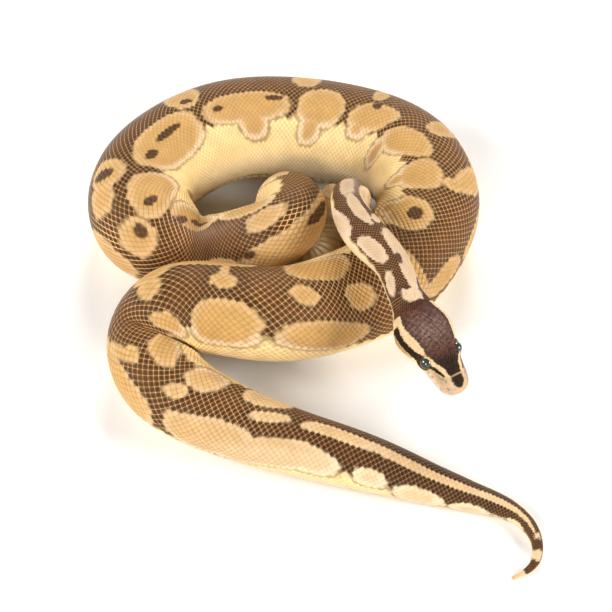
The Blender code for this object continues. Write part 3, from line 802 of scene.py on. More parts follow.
@dataclass
class Markings:
    """The colours' places on the animal, a painted grey sheen among them, read alike by the skin and
    by every scale.

    Softness, widths and lengths are in millimetres, and shares and strengths from 0 to 1.
    """

    line: BodyLine
    light_soft: float = 0.7
    spot_soft: float = 0.5
    ground_soft: float = 1.5
    light_reach: float = 12.0
    spot_reach: float = 6.0
    least_radius: float = 1.5
    outline_width: float = 0.9
    outline_share: float = 0.6
    halo_length: float = 3.6
    tail_deep: float = 0.65
    edge_width: float = 1.9
    tail_belly: float = 0.55
    neck_belly: float = 0.8
    neck_violet: float = 0.75
    # Strengths of the grey sheen painted on the fold's top and on the neck's patches.
    painted_fold_sheen: float = 0.45
    painted_neck_sheen: float = 0.50
    eye_ring: tuple = (3.4, 4.0)
    head_line: float = 0.05
    head_violet: float = 0.8
    # Strength of the snout's pinkish tint.
    snout_tint: float = 0.7

    def __post_init__(self) -> None:
        """Gather the patches and the spots."""
        unseen = unseen_patches()
        self.light = (
            NECK_PATCHES + INNER_PATCHES + COIL_PATCHES + LOOP_PATCHES + REAR_PATCHES
            + TAIL_PATCHES + unseen
        )
        self.spots = SPOTS + unseen_spots(unseen)

    def edge(self, group: tuple[Patch, ...], at: Rows, angle: Rows, reach: float) -> Rows:
        """Return the distance out from the nearest patch, in millimetres.

        Args:
            group: The patches.
            at: Distances from the snout.
            angle: Angles from the back, in degrees from -180 to 180.
            reach: The most that is returned.

        Returns:
            Distances, less than zero inside a patch.
        """
        radius = np.maximum(self.line.sample("radius", at), self.least_radius)
        found = np.full(at.shape, reach)
        for patch in group:
            near = np.abs(at - patch.at) < patch.half_at + abs(patch.lean) * 90 + reach + 1
            if not near.any():
                continue
            across = (angle[near] - patch.angle) / patch.half_angle
            along = (at[near] - patch.at - patch.lean * (angle[near] - patch.angle)) / patch.half_at
            power = patch.power
            ratio = (np.abs(along) ** power + np.abs(across) ** power + 1e-9) ** (1 / power)
            round_size = np.radians(patch.half_angle) * radius[near]
            size = np.sqrt(patch.half_at * round_size)
            found[near] = np.minimum(found[near], (ratio - 1) * size)
        return found

    @staticmethod
    def wobble(at: Rows, angle: Rows) -> Rows:
        """Return a small unevenness for the edges of patches.

        Args:
            at: Distances from the snout.
            angle: Angles from the back, in degrees.

        Returns:
            Distances in millimetres, out or in.
        """
        fine = np.sin(at * 1.31 + angle * 0.11) * np.sin(at * 0.47 - angle * 0.19 + 1.0)
        broad = np.sin(at * 0.21 + angle * 0.07 + 2.0) * np.sin(angle * 0.13 - at * 0.09)
        return 0.55 * fine + 0.5 * broad

    def masks(self, at: Rows, angle: Rows) -> dict[str, Rows]:
        """Return the strength of each colour.

        Args:
            at: Distances from the snout.
            angle: Angles from the back, in radians.

        Returns:
            One array of strengths from 0 to 1 for each name of a colour attribute.
        """
        degrees = (np.degrees(angle) + 180) % 360 - 180
        made = self.on_body(at, degrees)
        front = at < HEAD_END
        for name, values in self.on_head(at[front], degrees[front]).items():
            made[name][front] = values
        return made

    def on_body(self, at: Rows, angle: Rows) -> dict[str, Rows]:
        """Return the strengths as they are on the neck, the trunk and the tail.

        Args:
            at: Distances from the snout.
            angle: Angles from the back, in degrees from -180 to 180.

        Returns:
            One array of strengths for each name of a colour attribute.
        """
        aside, wobble = np.abs(angle), self.wobble(at, angle)
        edge = self.edge(self.light, at, angle, self.light_reach) + wobble
        light = ramp(edge, self.light_soft, -self.light_soft)
        spot = self.edge(self.spots, at, angle, self.spot_reach) + 0.4 * wobble
        spot = ramp(spot, self.spot_soft, -self.spot_soft)
        # The ground is deepest brown beside the patches, and all along the thin of the tail.
        deep = np.exp(-np.maximum(edge, 0.0) / self.halo_length)
        deep = np.maximum(deep, self.tail_deep * ramp(at, 900.0, 960.0) * ramp(at, 1030.0, 1015.0))
        # Patches are palest along their edges, more so on the flanks.
        pale = bell(edge + 1.2, self.edge_width) * (0.22 + 0.68 * ramp(aside, 48.0, 74.0))
        pale = pale + np.interp(at, PALE_AT, PALE_SHARE)
        pale = pale + 0.2 * ramp(at, 845.0, 880.0) * ramp(aside, 38.0, 60.0)
        return {
            "dark": self.ground(at, aside, edge),
            "deep": deep,
            "light": light,
            "pale": np.clip(pale, 0.0, 1.0),
            "spot": spot,
            "under": self.belly(at, aside),
            "violet": self.neck_violet * ramp(at, 150.0, 105.0),
            # Painted sheen: a grey highlight painted on the neck's bend, the fold's top and the neck's
            # patches.
            "painted_sheen_and_tint": self.painted_sheen(at, angle, light * (1 - spot)),
            "line": np.interp(at, LINE_AT, LINE_SHARE),
        }

    def ground(self, at: Rows, aside: Rows, edge: Rows) -> Rows:
        """Return the brown ground, down to a wavy edge, and the outlines of the low patches.

        Args:
            at: Distances from the snout.
            aside: Angles from the back to either side, in degrees.
            edge: Distances out from the nearest patch.

        Returns:
            Strengths from 0 to 1.
        """
        radius = np.maximum(self.line.sample("radius", at), self.least_radius)
        limit = np.interp(at, LOWER_EDGE_AT, LOWER_EDGE_ANGLE) + 3.0 * np.sin(at * 0.9)
        below = (aside - limit) * np.radians(1.0) * radius
        outline = bell(edge - 0.8, self.outline_width)
        outline = outline * ramp(aside, 50.0, 60.0) * ramp(aside, 112.0, 96.0) * (at > 150)
        brown = ramp(below, self.ground_soft, -self.ground_soft)
        return np.maximum(brown, self.outline_share * outline)

    def belly(self, at: Rows, aside: Rows) -> Rows:
        """Return the pale belly, which reaches further up on the neck and on the tail.

        Args:
            at: Distances from the snout.
            aside: Angles from the back to either side, in degrees.

        Returns:
            Strengths from 0 to 1.
        """
        tail = self.tail_belly * ramp(at, 930.0, 960.0) * ramp(aside, 70.0, 90.0)
        neck = self.neck_belly * ramp(at, 125.0, 100.0) * ramp(aside, 66.0, 82.0)
        return np.maximum(np.maximum(ramp(aside, 92.0, 122.0), tail), neck)

    def painted_sheen(self, at: Rows, angle: Rows, patch: Rows) -> Rows:
        """Return the grey sheen painted on the neck's bend, the fold's top and the neck's patches.

        Args:
            at: Distances from the snout.
            angle: Angles from the back, in degrees.
            patch: How strongly a bare pale patch shows.

        Returns:
            Strengths from 0 to 1.
        """
        bend = bell(at - 128.0, 14.0) * bell(angle - 12.0, 34.0)
        fold = self.painted_fold_sheen * bell(at - 345.0, 26.0) * bell(angle - 40.0, 14.0)
        return np.maximum(np.maximum(bend, fold), self.painted_neck_sheen * patch * ramp(at, 150.0, 110.0))

    def on_head(self, at: Rows, angle: Rows) -> dict[str, Rows]:
        """Return the strengths in front of the nape, from the head's own stripes.

        Args:
            at: Distances from the snout.
            angle: Angles from the back, in degrees from -180 to 180.

        Returns:
            One array of strengths for each name of a colour attribute.
        """
        degrees = angle - np.interp(at, CROWN_AT, CROWN_ANGLE)
        signed = (degrees + 180) % 360 - 180
        aside = np.abs(signed) - np.where(signed > 0, np.interp(at, LEFT_AT, LEFT_MORE), 0.0)
        aside = aside + 1.6 * np.sin(at * 2.6 + 0.5) * np.sin(at * 0.9 + signed * 0.05)
        cap = np.maximum(CAP.strength(at, aside), SNOUT_PATCH.strength(at, aside))
        stripe = np.maximum(FRONT_STRIPE.strength(at, aside), BACK_STRIPE.strength(at, aside))
        line = np.maximum(FRONT_LINE.strength(at, aside), EYE_STRIPE.strength(at, aside))
        arm, cheek = ARM.strength(at, aside), CHEEK.strength(at, aside) * (1 - line)
        # Dark skin rings each eye.
        to_eye = np.hypot(at - EYE_AT[0], (aside - EYE_AT[1]) * HEAD_DEGREE)
        ring = ramp(to_eye, self.eye_ring[1], self.eye_ring[0])
        dark = np.maximum(cap, line) * (1 - stripe) * (1 - arm)
        dark = np.maximum(dark, ring)
        line = np.maximum(line, 0.8 * ring)
        # The crown is deepest along its rim, at the nape and on the forehead.
        inside = (np.interp(at, CAP.at, CAP.outer) - aside) * HEAD_DEGREE
        rim = np.exp(-np.maximum(inside, 0.0) / (1.7 + 1.0 * (signed > 0)))
        rim = np.maximum(rim, 0.8 * ramp(at, 44.0, 47.5))
        forehead = ramp(at, 22.0, 13.0)
        fade = 1 - 0.75 * ramp(aside, 68.0, 79.0) * ramp(at, 21.0, 24.0)
        deep = np.clip(np.maximum(rim, line * fade) + 0.9 * forehead, 0.10, 1.0)
        violet = self.head_violet * (1 - np.maximum(np.maximum(rim, line), 0.8 * forehead))
        # The lips are cream, and a warm blush lies before the eye and on the cheek.
        lip = ramp(aside, 66.0, 88.0)
        blush = bell(aside - 56.0, 13.0) * bell(at - 8.0, 5.0) * (1 - stripe)
        warm = np.clip(cheek + 0.8 * blush, 0.0, 1.0)
        pale = np.maximum(0.62 * np.maximum(stripe, arm), 0.45 + 0.55 * lip) * (1 - warm)
        fleck = ramp(self.edge(FLECKS, at, aside, 3.0), self.spot_soft, -self.spot_soft)
        spot = np.maximum(0.70 * fleck, np.maximum(0.26 * blush, 0.20 * cheek)) * (1 - dark)
        # A streaky grey sheen is painted on the crown, and the same colour gives the snout an even
        # pinkish tint.
        sheen_streak = np.sin(at * 1.7 + degrees * 0.35) * np.sin(at * 0.8 - degrees * 0.6 + 1.0)
        crown = cap * (1 - rim) * bell(at - 32.0, 10.0) * (0.46 + 0.34 * sheen_streak)
        snout = self.snout_tint * ramp(at, 20.0, 12.0) * (1 - dark) * (1 - stripe)
        return {
            "dark": dark,
            "deep": deep,
            "light": 1 - dark,
            "pale": pale,
            "spot": spot,
            "under": lip * (1 - cheek),
            "violet": violet,
            "painted_sheen_and_tint": np.maximum(crown, snout),
            "line": np.full(at.shape, self.head_line),
        }


# Names of the colour attributes; the sheen among them is a grey highlight painted into the colour, and a
# pinkish tint on the snout.
ATTRIBUTES = ("dark", "deep", "light", "pale", "spot", "under", "violet", "painted_sheen_and_tint", "line")
BAKE_MAP = "OFBake"
BAKE_PATCH = 0.003


def write_mesh(name: str, points: Rows, loops: Rows, totals: Rows) -> bpy.types.Object:
    """Make an object from corner lists.

    Args:
        name: The object's and the mesh's name.
        points: Vertices in millimetres.
        loops: Vertex numbers of all faces, one after the other.
        totals: The number of corners of each face.

    Returns:
        The linked object, shaded smooth.
    """
    mesh = bpy.data.meshes.new(name)
    mesh.vertices.add(len(points))
    mesh.vertices.foreach_set("co", (points * MM).astype(np.float32).ravel())
    mesh.loops.add(len(loops))
    mesh.loops.foreach_set("vertex_index", loops.astype(np.int32))
    mesh.polygons.add(len(totals))
    starts = np.concatenate([[0], np.cumsum(totals)[:-1]])
    mesh.polygons.foreach_set("loop_start", starts.astype(np.int32))
    mesh.polygons.foreach_set("loop_total", totals.astype(np.int32))
    mesh.polygons.foreach_set("use_smooth", np.ones(len(totals), bool))
    mesh.update(calc_edges=True)
    mesh.validate()
    item = bpy.data.objects.new(name, mesh)
    bpy.context.scene.collection.objects.link(item)
    return item


def add_attribute(item: bpy.types.Object, name: str, values: Rows) -> None:
    """Store one number for each vertex."""
    layer = item.data.attributes.new(name, "FLOAT", "POINT")
    layer.data.foreach_set("value", np.asarray(values, np.float32))


def add_bake_map(item: bpy.types.Object, corners: Rows) -> None:
    """Store the unwrap that the markings are baked on.

    Args:
        item: The piece.
        corners: One pair of numbers from 0 to 1 for each vertex.
    """
    layer = item.data.uv_layers.new(name=BAKE_MAP)
    index = np.zeros(len(item.data.loops), np.int32)
    item.data.loops.foreach_get("vertex_index", index)
    layer.data.foreach_set("uv", corners[index].astype(np.float32).ravel())


def paint(item: bpy.types.Object, marks: Markings, at: Rows, angle: Rows) -> None:
    """Write the markings on a piece's vertices, given each one's distance and angle."""
    for name, values in marks.masks(at, angle).items():
        add_attribute(item, name, values)


def quad_band(rings: int, start: int, columns: int) -> Rows:
    """Return the faces between closed rings of vertices.

    Args:
        rings: How many rings there are.
        start: The number of the first ring's first vertex.
        columns: How many vertices each ring has.

    Returns:
        One row of four vertex numbers for each face.
    """
    i, j = np.meshgrid(np.arange(rings - 1), np.arange(columns), indexing="ij")
    k = (j + 1) % columns
    low, high = start + i * columns, start + (i + 1) * columns
    return np.stack([low + j, low + k, high + k, high + j], -1).reshape(-1, 4)


@dataclass
class Skin:
    """The one skin of the whole animal, without a seam."""

    form: SkinForm
    marks: Markings
    body_share: int = 2

    def build(self) -> bpy.types.Object:
        """Build the skin: fine columns on the head, every second one on the body.

        Returns:
            The skin, closed at the snout and at the tail's tip.
        """
        form = self.form
        fine, rows = form.columns, form.head_rows
        coarse = fine // self.body_share
        head = form.points[:rows].reshape(-1, 3)
        body = form.points[rows:, :: self.body_share].reshape(-1, 3)
        points = np.concatenate([head, body, form.points[:1].mean(1), form.points[-1:].mean(1)])
        first = len(head)
        last = first - fine
        snout, tail = len(points) - 2, len(points) - 1
        # Three triangles join each body column to the two head columns in front of it.
        j = np.arange(coarse)
        k = (j + 1) % coarse
        a, b, c = last + 2 * j, last + 2 * j + 1, last + (2 * j + 2) % fine
        seam = np.stack([a, b, first + j, b, first + k, first + j, b, c, first + k], -1)
        n = np.arange(fine)
        end = snout - coarse
        faces = [
            quad_band(rows, 0, fine), quad_band(len(form.at) - rows, first, coarse),
            seam.reshape(-1, 3), np.stack([np.full(fine, snout), (n + 1) % fine, n], -1),
            np.stack([np.full(coarse, tail), end + j, end + k], -1),
        ]
        loops = np.concatenate([face.ravel() for face in faces])
        totals = np.concatenate([np.full(len(face), face.shape[1]) for face in faces])
        item = write_mesh("skin", points, loops, totals)
        self.dress(item)
        return item

    def dress(self, item: bpy.types.Object) -> None:
        """Write the markings and the unwrap on the skin.

        Args:
            item: The skin.
        """
        form, rows = self.form, self.form.head_rows
        coarse = form.angle[:: self.body_share]
        at = np.concatenate([
            np.repeat(form.at[:rows], form.columns), np.repeat(form.at[rows:], len(coarse)),
            form.at[[0, -1]],
        ])
        angle = np.concatenate([
            np.tile(form.angle, rows), np.tile(coarse, len(form.at) - rows), [0.0, 0.0],
        ])
        paint(item, self.marks, at, angle)
        across = (angle / (2 * np.pi) + 0.5) % 1.0
        along = (at - at.min()) / (at.max() - at.min())
        add_bake_map(item, np.stack([along, across], 1))


@dataclass
class ScaleShape:
    """One scale in its own plane: X runs to the tail, from -1 to 1, and Y across.

    Three rings and a middle point make it: a sunk foot, the rim and the edge of the low dome.
    """

    corners: int = 8
    power: float = 1.12
    foot: float = 0.96
    inner: float = 0.84
    height: float = 0.26
    shoulder: float = 0.62
    lift: float = 0.10
    root: float = -0.10
    base: float = -0.30
    inner_rim: float = 0.12

    def __post_init__(self) -> None:
        """Lay out the rings of one scale and its faces."""
        n = self.corners
        turn = np.arange(n) * 2 * np.pi / n
        x, y = np.cos(turn), -np.sin(turn)
        size = (np.abs(x) ** self.power + np.abs(y) ** self.power) ** (-1 / self.power)
        rim = np.stack([x * size, y * size], 1)
        self.flat = np.concatenate([rim * self.foot, rim, rim * self.inner, [[0.0, 0.0]]])
        heights = (self.base, self.root, self.shoulder * self.height, self.height)
        self.level = np.repeat(heights, (n, n, n, 1))
        self.level[n:] += self.lift * self.flat[n:, 0]
        self.rim = np.repeat((1.0, 1.0, self.inner_rim, 0.0), (n, n, n, 1))
        i = np.arange(n)
        k = (i + 1) % n
        skirt = np.stack([i, k, n + k, n + i], 1)
        slope = np.stack([n + i, n + k, 2 * n + k, 2 * n + i], 1)
        top = np.stack([2 * n + i, 2 * n + k, np.full(n, 3 * n)], 1)
        self.loops = np.concatenate([skirt.ravel(), slope.ravel(), top.ravel(), i[::-1]])
        self.totals = np.repeat((4, 3, n), (2 * n, n, 1))


@dataclass
class Seeds:
    """The places, half sizes and heights of many like scales."""

    at: Rows
    angle: Rows
    half_at: Rows
    half_across: Rows
    height: Rows

    @classmethod
    def alike(
        cls, at: Rows, angle: Rows, half_at: float, half_across: float, height: float | Rows
    ) -> "Seeds":
        """Return seeds of one size, and of one height unless each place has its own."""
        return cls(at, angle, *(np.full(len(at), one) for one in (half_at, half_across, height)))

    @classmethod
    def joined(cls, parts: list["Seeds"]) -> "Seeds":
        """Return the seeds of several groups, one group after the other."""
        return cls(*(np.concatenate([getattr(p, n) for p in parts]) for n in cls.__dataclass_fields__))

    def part(self, keep: Rows) -> "Seeds":
        """Return the seeds that a mask keeps."""
        return Seeds(*(getattr(self, n)[keep] for n in self.__dataclass_fields__))


@dataclass
class Coat:
    """Lays scales on the skin as one joined piece of closed shells.

    A scale takes its markings part of the way from its root's place to each vertex's own, so
    that it keeps mostly to one colour, as a real one does.
    """

    form: SkinForm
    marks: Markings
    shape: ScaleShape = field(default_factory=ScaleShape)
    follow: float = 0.6
    snout_gap: float = 0.02
    tail_gap: float = 0.05

    def build(self, name: str, seeds: Seeds, span: tuple[float, float]) -> bpy.types.Object:
        """Stamp a scale at every seed.

        Args:
            name: The piece's name.
            seeds: Where the scales go.
            span: The distances from the snout that the piece's unwrap covers.

        Returns:
            The piece, with its markings and its unwrap.
        """
        form, shape = self.form, self.shape
        count, each = len(seeds.at), len(shape.flat)
        root_at, root_angle = seeds.at[:, None], seeds.angle[:, None]
        step_at, step_angle = self.steps(seeds)
        along = shape.flat[None, :, 0] * (seeds.half_at / step_at)[:, None]
        around = shape.flat[None, :, 1] * (seeds.half_across / step_angle)[:, None]
        on_skin = np.clip(
            root_at + along, form.at[0] + self.snout_gap, form.at[-1] - self.tail_gap
        )
        level = shape.level[None] * seeds.height[:, None]
        points = form.on(on_skin, root_angle + around, level)
        loops = (shape.loops[None] + each * np.arange(count)[:, None]).ravel()
        item = write_mesh(name, points.reshape(-1, 3), loops, np.tile(shape.totals, count))
        mark_at, mark_angle = root_at + self.follow * along, root_angle + self.follow * around
        paint(item, self.marks, mark_at.ravel(), mark_angle.ravel())
        add_attribute(item, "rim", np.tile(shape.rim, count))
        draws = np.random.default_rng(11).random(count)
        add_attribute(item, "tone", np.repeat(draws, each))
        add_bake_map(item, self.unwrap(seeds, span))
        return item

    def unwrap(self, seeds: Seeds, span: tuple[float, float]) -> Rows:
        """Give every scale its own small patch of the bake map, at its place on the skin.

        Args:
            seeds: Where the scales are.
            span: The distances from the snout at the map's two sides.

        Returns:
            One pair of numbers from 0 to 1 for each vertex.
        """
        along = (seeds.at - span[0]) / (span[1] - span[0])
        across = (seeds.angle / (2 * np.pi) + 0.5) % 1.0
        root = np.stack([along, across], 1) * 0.99 + 0.005
        return (root[:, None] + self.shape.flat[None] * BAKE_PATCH / 2).reshape(-1, 2)

    def steps(self, seeds: Seeds) -> tuple[Rows, Rows]:
        """Measure the skin at every seed.

        Args:
            seeds: Where the scales go.

        Returns:
            The length on the skin of one millimetre of distance, and of one radian.
        """
        flat = np.zeros(len(seeds.at))
        lengths = []
        for gap_at, gap_angle in ((0.4, 0.0), (0.0, 0.02)):
            one = self.form.on(seeds.at + gap_at, seeds.angle + gap_angle, flat)
            other = self.form.on(seeds.at - gap_at, seeds.angle - gap_angle, flat)
            lengths.append(np.linalg.norm(one - other, axis=1) / (2 * (gap_at + gap_angle)))
        return np.clip(lengths[0], 0.25, 4.0), np.maximum(lengths[1], 0.6)


# Width of a row of scales at distances from the snout.
ROW_AT = (54.0, 120.0, 200.0, 300.0, 390.0, 450.0, 640.0, 700.0, 860.0, 930.0, 980.0, 1020.0, 1064.0)
ROW_WIDTH = (0.95, 1.02, 1.20, 1.45, 1.58, 1.62, 1.62, 1.88, 1.92, 1.80, 1.52, 1.15, 0.50)


@dataclass
class BodyScales:
    """The rows of smooth scales on the back and the flanks."""

    form: SkinForm
    pitch_ratio: float = 1.66
    length_share: float = 1.03
    width_share: float = 0.97
    full_height_width: float = 1.8
    belly_angle: float = 142.0
    start: float = 54.6
    end_gap: float = 0.6
    samples: int = 20000

    def seeds(self) -> Seeds:
        """Lay rows of scales side by side, every second one half a scale further on.

        Returns:
            The scales' places and sizes, down to the belly plates.
        """
        line = self.form.line
        fine = np.linspace(self.start, line.at[-1] - self.end_gap, self.samples)
        width = self.width(fine)
        run = np.concatenate([[0.0], np.cumsum(np.diff(fine) / (self.pitch_ratio * width[:-1]))])
        arc = np.radians(self.belly_angle) * line.sample("radius", fine)
        rows = int((arc / width).max()) + 2
        found = []
        for row in range(-rows, rows + 1):
            at = np.interp(np.arange(0.5 * (row % 2), run[-1], 1.0), run, fine)
            angle = row * self.width(at) / np.maximum(line.sample("radius", at) - 0.5, 0.8)
            found.append(np.stack([at, angle])[:, np.abs(angle) < np.radians(self.belly_angle)])
        at, angle = np.concatenate(found, axis=1)
        width = self.width(at)
        length = self.pitch_ratio * width * self.length_share * self.stretch(at, angle)
        height = np.clip(width / self.full_height_width, 0.4, 1.0)
        return Seeds(at, angle, 0.5 * length, width * self.width_share, height)

    def width(self, at: Rows) -> Rows:
        """Return the width of a row at distances from the snout."""
        return np.interp(at, ROW_AT, ROW_WIDTH)

    def stretch(self, at: Rows, angle: Rows) -> Rows:
        """Return how much longer the skin is than the body's middle.

        Args:
            at: Distances from the snout.
            angle: Angles from the back, in radians.

        Returns:
            Ratios, over 1 outside a bend and under 1 inside it.
        """
        line = self.form.line
        out = line.sample("back", at) * np.cos(angle)[:, None]
        out = out + line.sample("side", at) * np.sin(angle)[:, None]
        inward = (line.sample("bend", at) * out).sum(1) * line.sample("radius", at)
        return np.clip(1 - inward, 0.3, 1.9)


@dataclass
class BellyPlates:
    """The single row of wide plates under the body.

    The profile runs round one plate's length, front to rear and back underneath: a place in
    plate lengths, a height, and how much of the pale rim shows there.
    """

    form: SkinForm
    marks: Markings
    half_angle: float = 39.0
    columns: int = 13
    start: float = 58.0
    end_gap: float = 2.5
    pitch_least: float = 1.6
    pitch_share: float = 0.16
    full_radius: float = 20.0
    profile: tuple = (
        (-0.5, -0.25, 1.0), (-0.44, 0.08, 0.6), (0.1, 0.26, 0.0), (0.5, 0.34, 0.3),
        (0.54, -0.2, 1.0),
    )

    def places(self) -> Rows:
        """Space the plates further apart where the body is thick.

        Returns:
            The plates' distances from the snout.
        """
        line, found = self.form.line, []
        at = self.start
        while at < line.at[-1] - self.end_gap:
            found.append(at)
            at += self.pitch_least + self.pitch_share * float(line.sample("radius", at))
        return np.array(found)

    def faces(self, count: int) -> Rows:
        """Return the vertex numbers of every plate's faces.

        Args:
            count: How many plates there are.

        Returns:
            Four numbers for each face, one after the other.
        """
        rows, columns = len(self.profile), self.columns
        i, j = np.meshgrid(np.arange(rows), np.arange(columns - 1), indexing="ij")
        near, far = i * columns + j, (i + 1) % rows * columns + j
        one = np.stack([near, near + 1, far + 1, far], -1).ravel()
        return (one[None] + rows * columns * np.arange(count)[:, None]).ravel()

    def build(self) -> bpy.types.Object:
        """Build every plate as a closed curved strip whose rear edge stands clear.

        Returns:
            The piece, with its markings and its unwrap.
        """
        line, at = self.form.line, self.places()
        turn = np.linspace(-1, 1, self.columns)
        rings, levels, rims = np.array(self.profile).T
        # A plate narrows to its rounded ends.
        narrow = np.sqrt(np.clip(1 - turn**6, 0.0, 1.0)) * 0.8 + 0.2
        place = at[:, None, None] + rings[:, None] * (np.gradient(at)[:, None, None] * narrow)
        angle = np.broadcast_to(np.pi + np.radians(self.half_angle) * turn, place.shape)
        size = np.clip(line.sample("radius", at) / self.full_radius, 0.3, 1.0)[:, None, None]
        height = np.where(np.abs(turn) > 0.99, -0.25, levels[:, None]) * size
        points = self.form.on(place.ravel(), angle.ravel(), height.ravel())
        loops = self.faces(len(at))
        item = write_mesh("belly_plates", points, loops, np.full(len(loops) // 4, 4))
        each = len(rings) * self.columns
        middle = np.repeat(at, each)
        paint(item, self.marks, middle, angle.ravel())
        add_attribute(item, "rim", np.tile(np.repeat(rims, self.columns), len(at)))
        add_attribute(item, "tone", np.repeat(np.random.default_rng(5).random(len(at)), each))
        root = np.stack([(middle - 50) / (line.at[-1] - 45), np.full(len(middle), 0.5)], 1)
        patch = np.stack([np.repeat(rings, self.columns), np.tile(turn, len(rings)) / 2], 1)
        add_bake_map(item, root + np.tile(patch * BAKE_PATCH, (len(at), 1)))
        return item


@dataclass
class HeadScales:
    """The small scales of the head, the ring round each eye and the rows along the lips."""

    form: SkinForm
    ring_samples: int = 240
    pitch: float = 1.2
    row_share: float = 0.87
    size_share: float = 0.60
    crown_height: float = 0.10
    side_height: float = 0.26
    eye_clear: float = 4.95
    eye_ring_radius: float = 3.75
    eye_ring_scales: int = 13
    lip_pitch: float = 2.3
    lip_clear: float = 2.7
    lip_offsets: tuple = (1.25, -1.3)

    def seeds(self) -> Seeds:
        """Return the places of all scales of the head."""
        lips = [self.lips(over) for over in self.lip_offsets]
        return Seeds.joined([self.cover(), self.eye_ring(), *lips])

    def half_ring(self, forward: float, side: int) -> tuple[Rows, Rows]:
        """Return points down one side of a section.

        Args:
            forward: The section's distance in front of the nape.
            side: 1 for the left side and -1 for the right one.

        Returns:
            Angles from the back, all positive, and points.
        """
        turn = np.linspace(0, np.pi, self.ring_samples)
        flat = np.zeros(self.ring_samples)
        return turn, self.form.on(flat + NAPE - forward, side * turn, flat)

    def rows(self) -> tuple[Rows, Rows]:
        """Lay staggered rows round the whole head, closer together at the snout.

        Returns:
            The scales' distances from the snout and their angles, in radians.
        """
        found = []
        forward, row = 0.3, 0
        while forward < HEAD_TIP - 0.6:
            turn, ring = self.half_ring(forward, 1)
            steps = np.linalg.norm(np.diff(ring, axis=0), axis=1)
            run = np.concatenate([[0.0], np.cumsum(steps)])
            offset = 0.5 * (row % 2) * self.pitch
            for side in (1, -1):
                # Only one scale sits on the middle line.
                first = offset if side > 0 or offset else self.pitch
                angles = np.interp(np.arange(first, run[-1], self.pitch), run, turn)
                found += [(NAPE - forward, side * angle) for angle in angles]
            closer = 1.0 - 0.45 * float(ramp(np.array(forward), 53.0, 56.5))
            forward += self.pitch * self.row_share * closer
            row += 1
        at, angle = np.array(found).T
        return at, angle

    def cover(self) -> Seeds:
        """Cover the crown, cheeks and throat, and leave the eyes and the lips bare.

        Returns:
            The scales' places and sizes, higher on the crown.
        """
        at, angle = self.rows()
        local = self.form.head.to_head(self.form.on(at, angle, np.zeros(len(at))))
        beside = np.stack([local[:, 0], np.abs(local[:, 1]), local[:, 2]], 1)
        by_eye = np.linalg.norm(beside - np.array(EYE_CENTRE), axis=1) < self.eye_clear
        lip = np.abs(local[:, 2] - HeadForm.lip(local[:, 0]))
        by_lip = (lip < self.lip_clear) & (local[:, 0] > 13.5)
        keep = ~(by_eye | by_lip)
        at, angle = at[keep], angle[keep]
        size = self.pitch * self.size_share
        crown = ramp(np.abs(np.degrees(angle)), 75.0, 50.0)
        height = self.side_height + self.crown_height * crown
        return Seeds.alike(at, angle, size, size * 0.94, height)

    def place(self, x: Rows, z: Rows) -> tuple[Rows, Rows]:
        """Find places on both sides of the head.

        Args:
            x: Distances in front of the nape.
            z: Heights over the head's axis.

        Returns:
            Distances from the snout and angles in radians, the left side's first.
        """
        angle = []
        for side in (1, -1):
            for forward, up in zip(x, z):
                turn, ring = self.half_ring(forward, side)
                height = self.form.head.to_head(ring)[:, 2]
                beside = np.abs(turn - np.pi / 2) < 1.35
                miss = np.where(beside, np.abs(height - up), np.inf)
                angle.append(side * turn[np.argmin(miss)])
        return np.tile(NAPE - x, 2), np.array(angle)

    def eye_ring(self) -> Seeds:
        """Lay the ring of small scales round each eye.

        Returns:
            The scales' places and sizes.
        """
        turn = np.arange(self.eye_ring_scales) * 2 * np.pi / self.eye_ring_scales
        x = EYE_CENTRE[0] + self.eye_ring_radius * np.cos(turn)
        z = EYE_CENTRE[2] + self.eye_ring_radius * np.sin(turn)
        return Seeds.alike(*self.place(x, z), 0.92, 0.92 * 0.8, 0.42)

    def lips(self, over: float) -> Seeds:
        """Lay one row of lip scales.

        Args:
            over: The row's height over the mouth line.

        Returns:
            The scales' places and sizes, nearer the line at the corner of the mouth.
        """
        x = np.arange(15.0, 55.0, self.lip_pitch)
        z = HeadForm.lip(x) + over * np.interp(x, (15.0, 22.0, 55.0), (0.8, 1.0, 1.0))
        return Seeds.alike(*self.place(x, z), self.lip_pitch * 0.56, 1.35, 0.5)


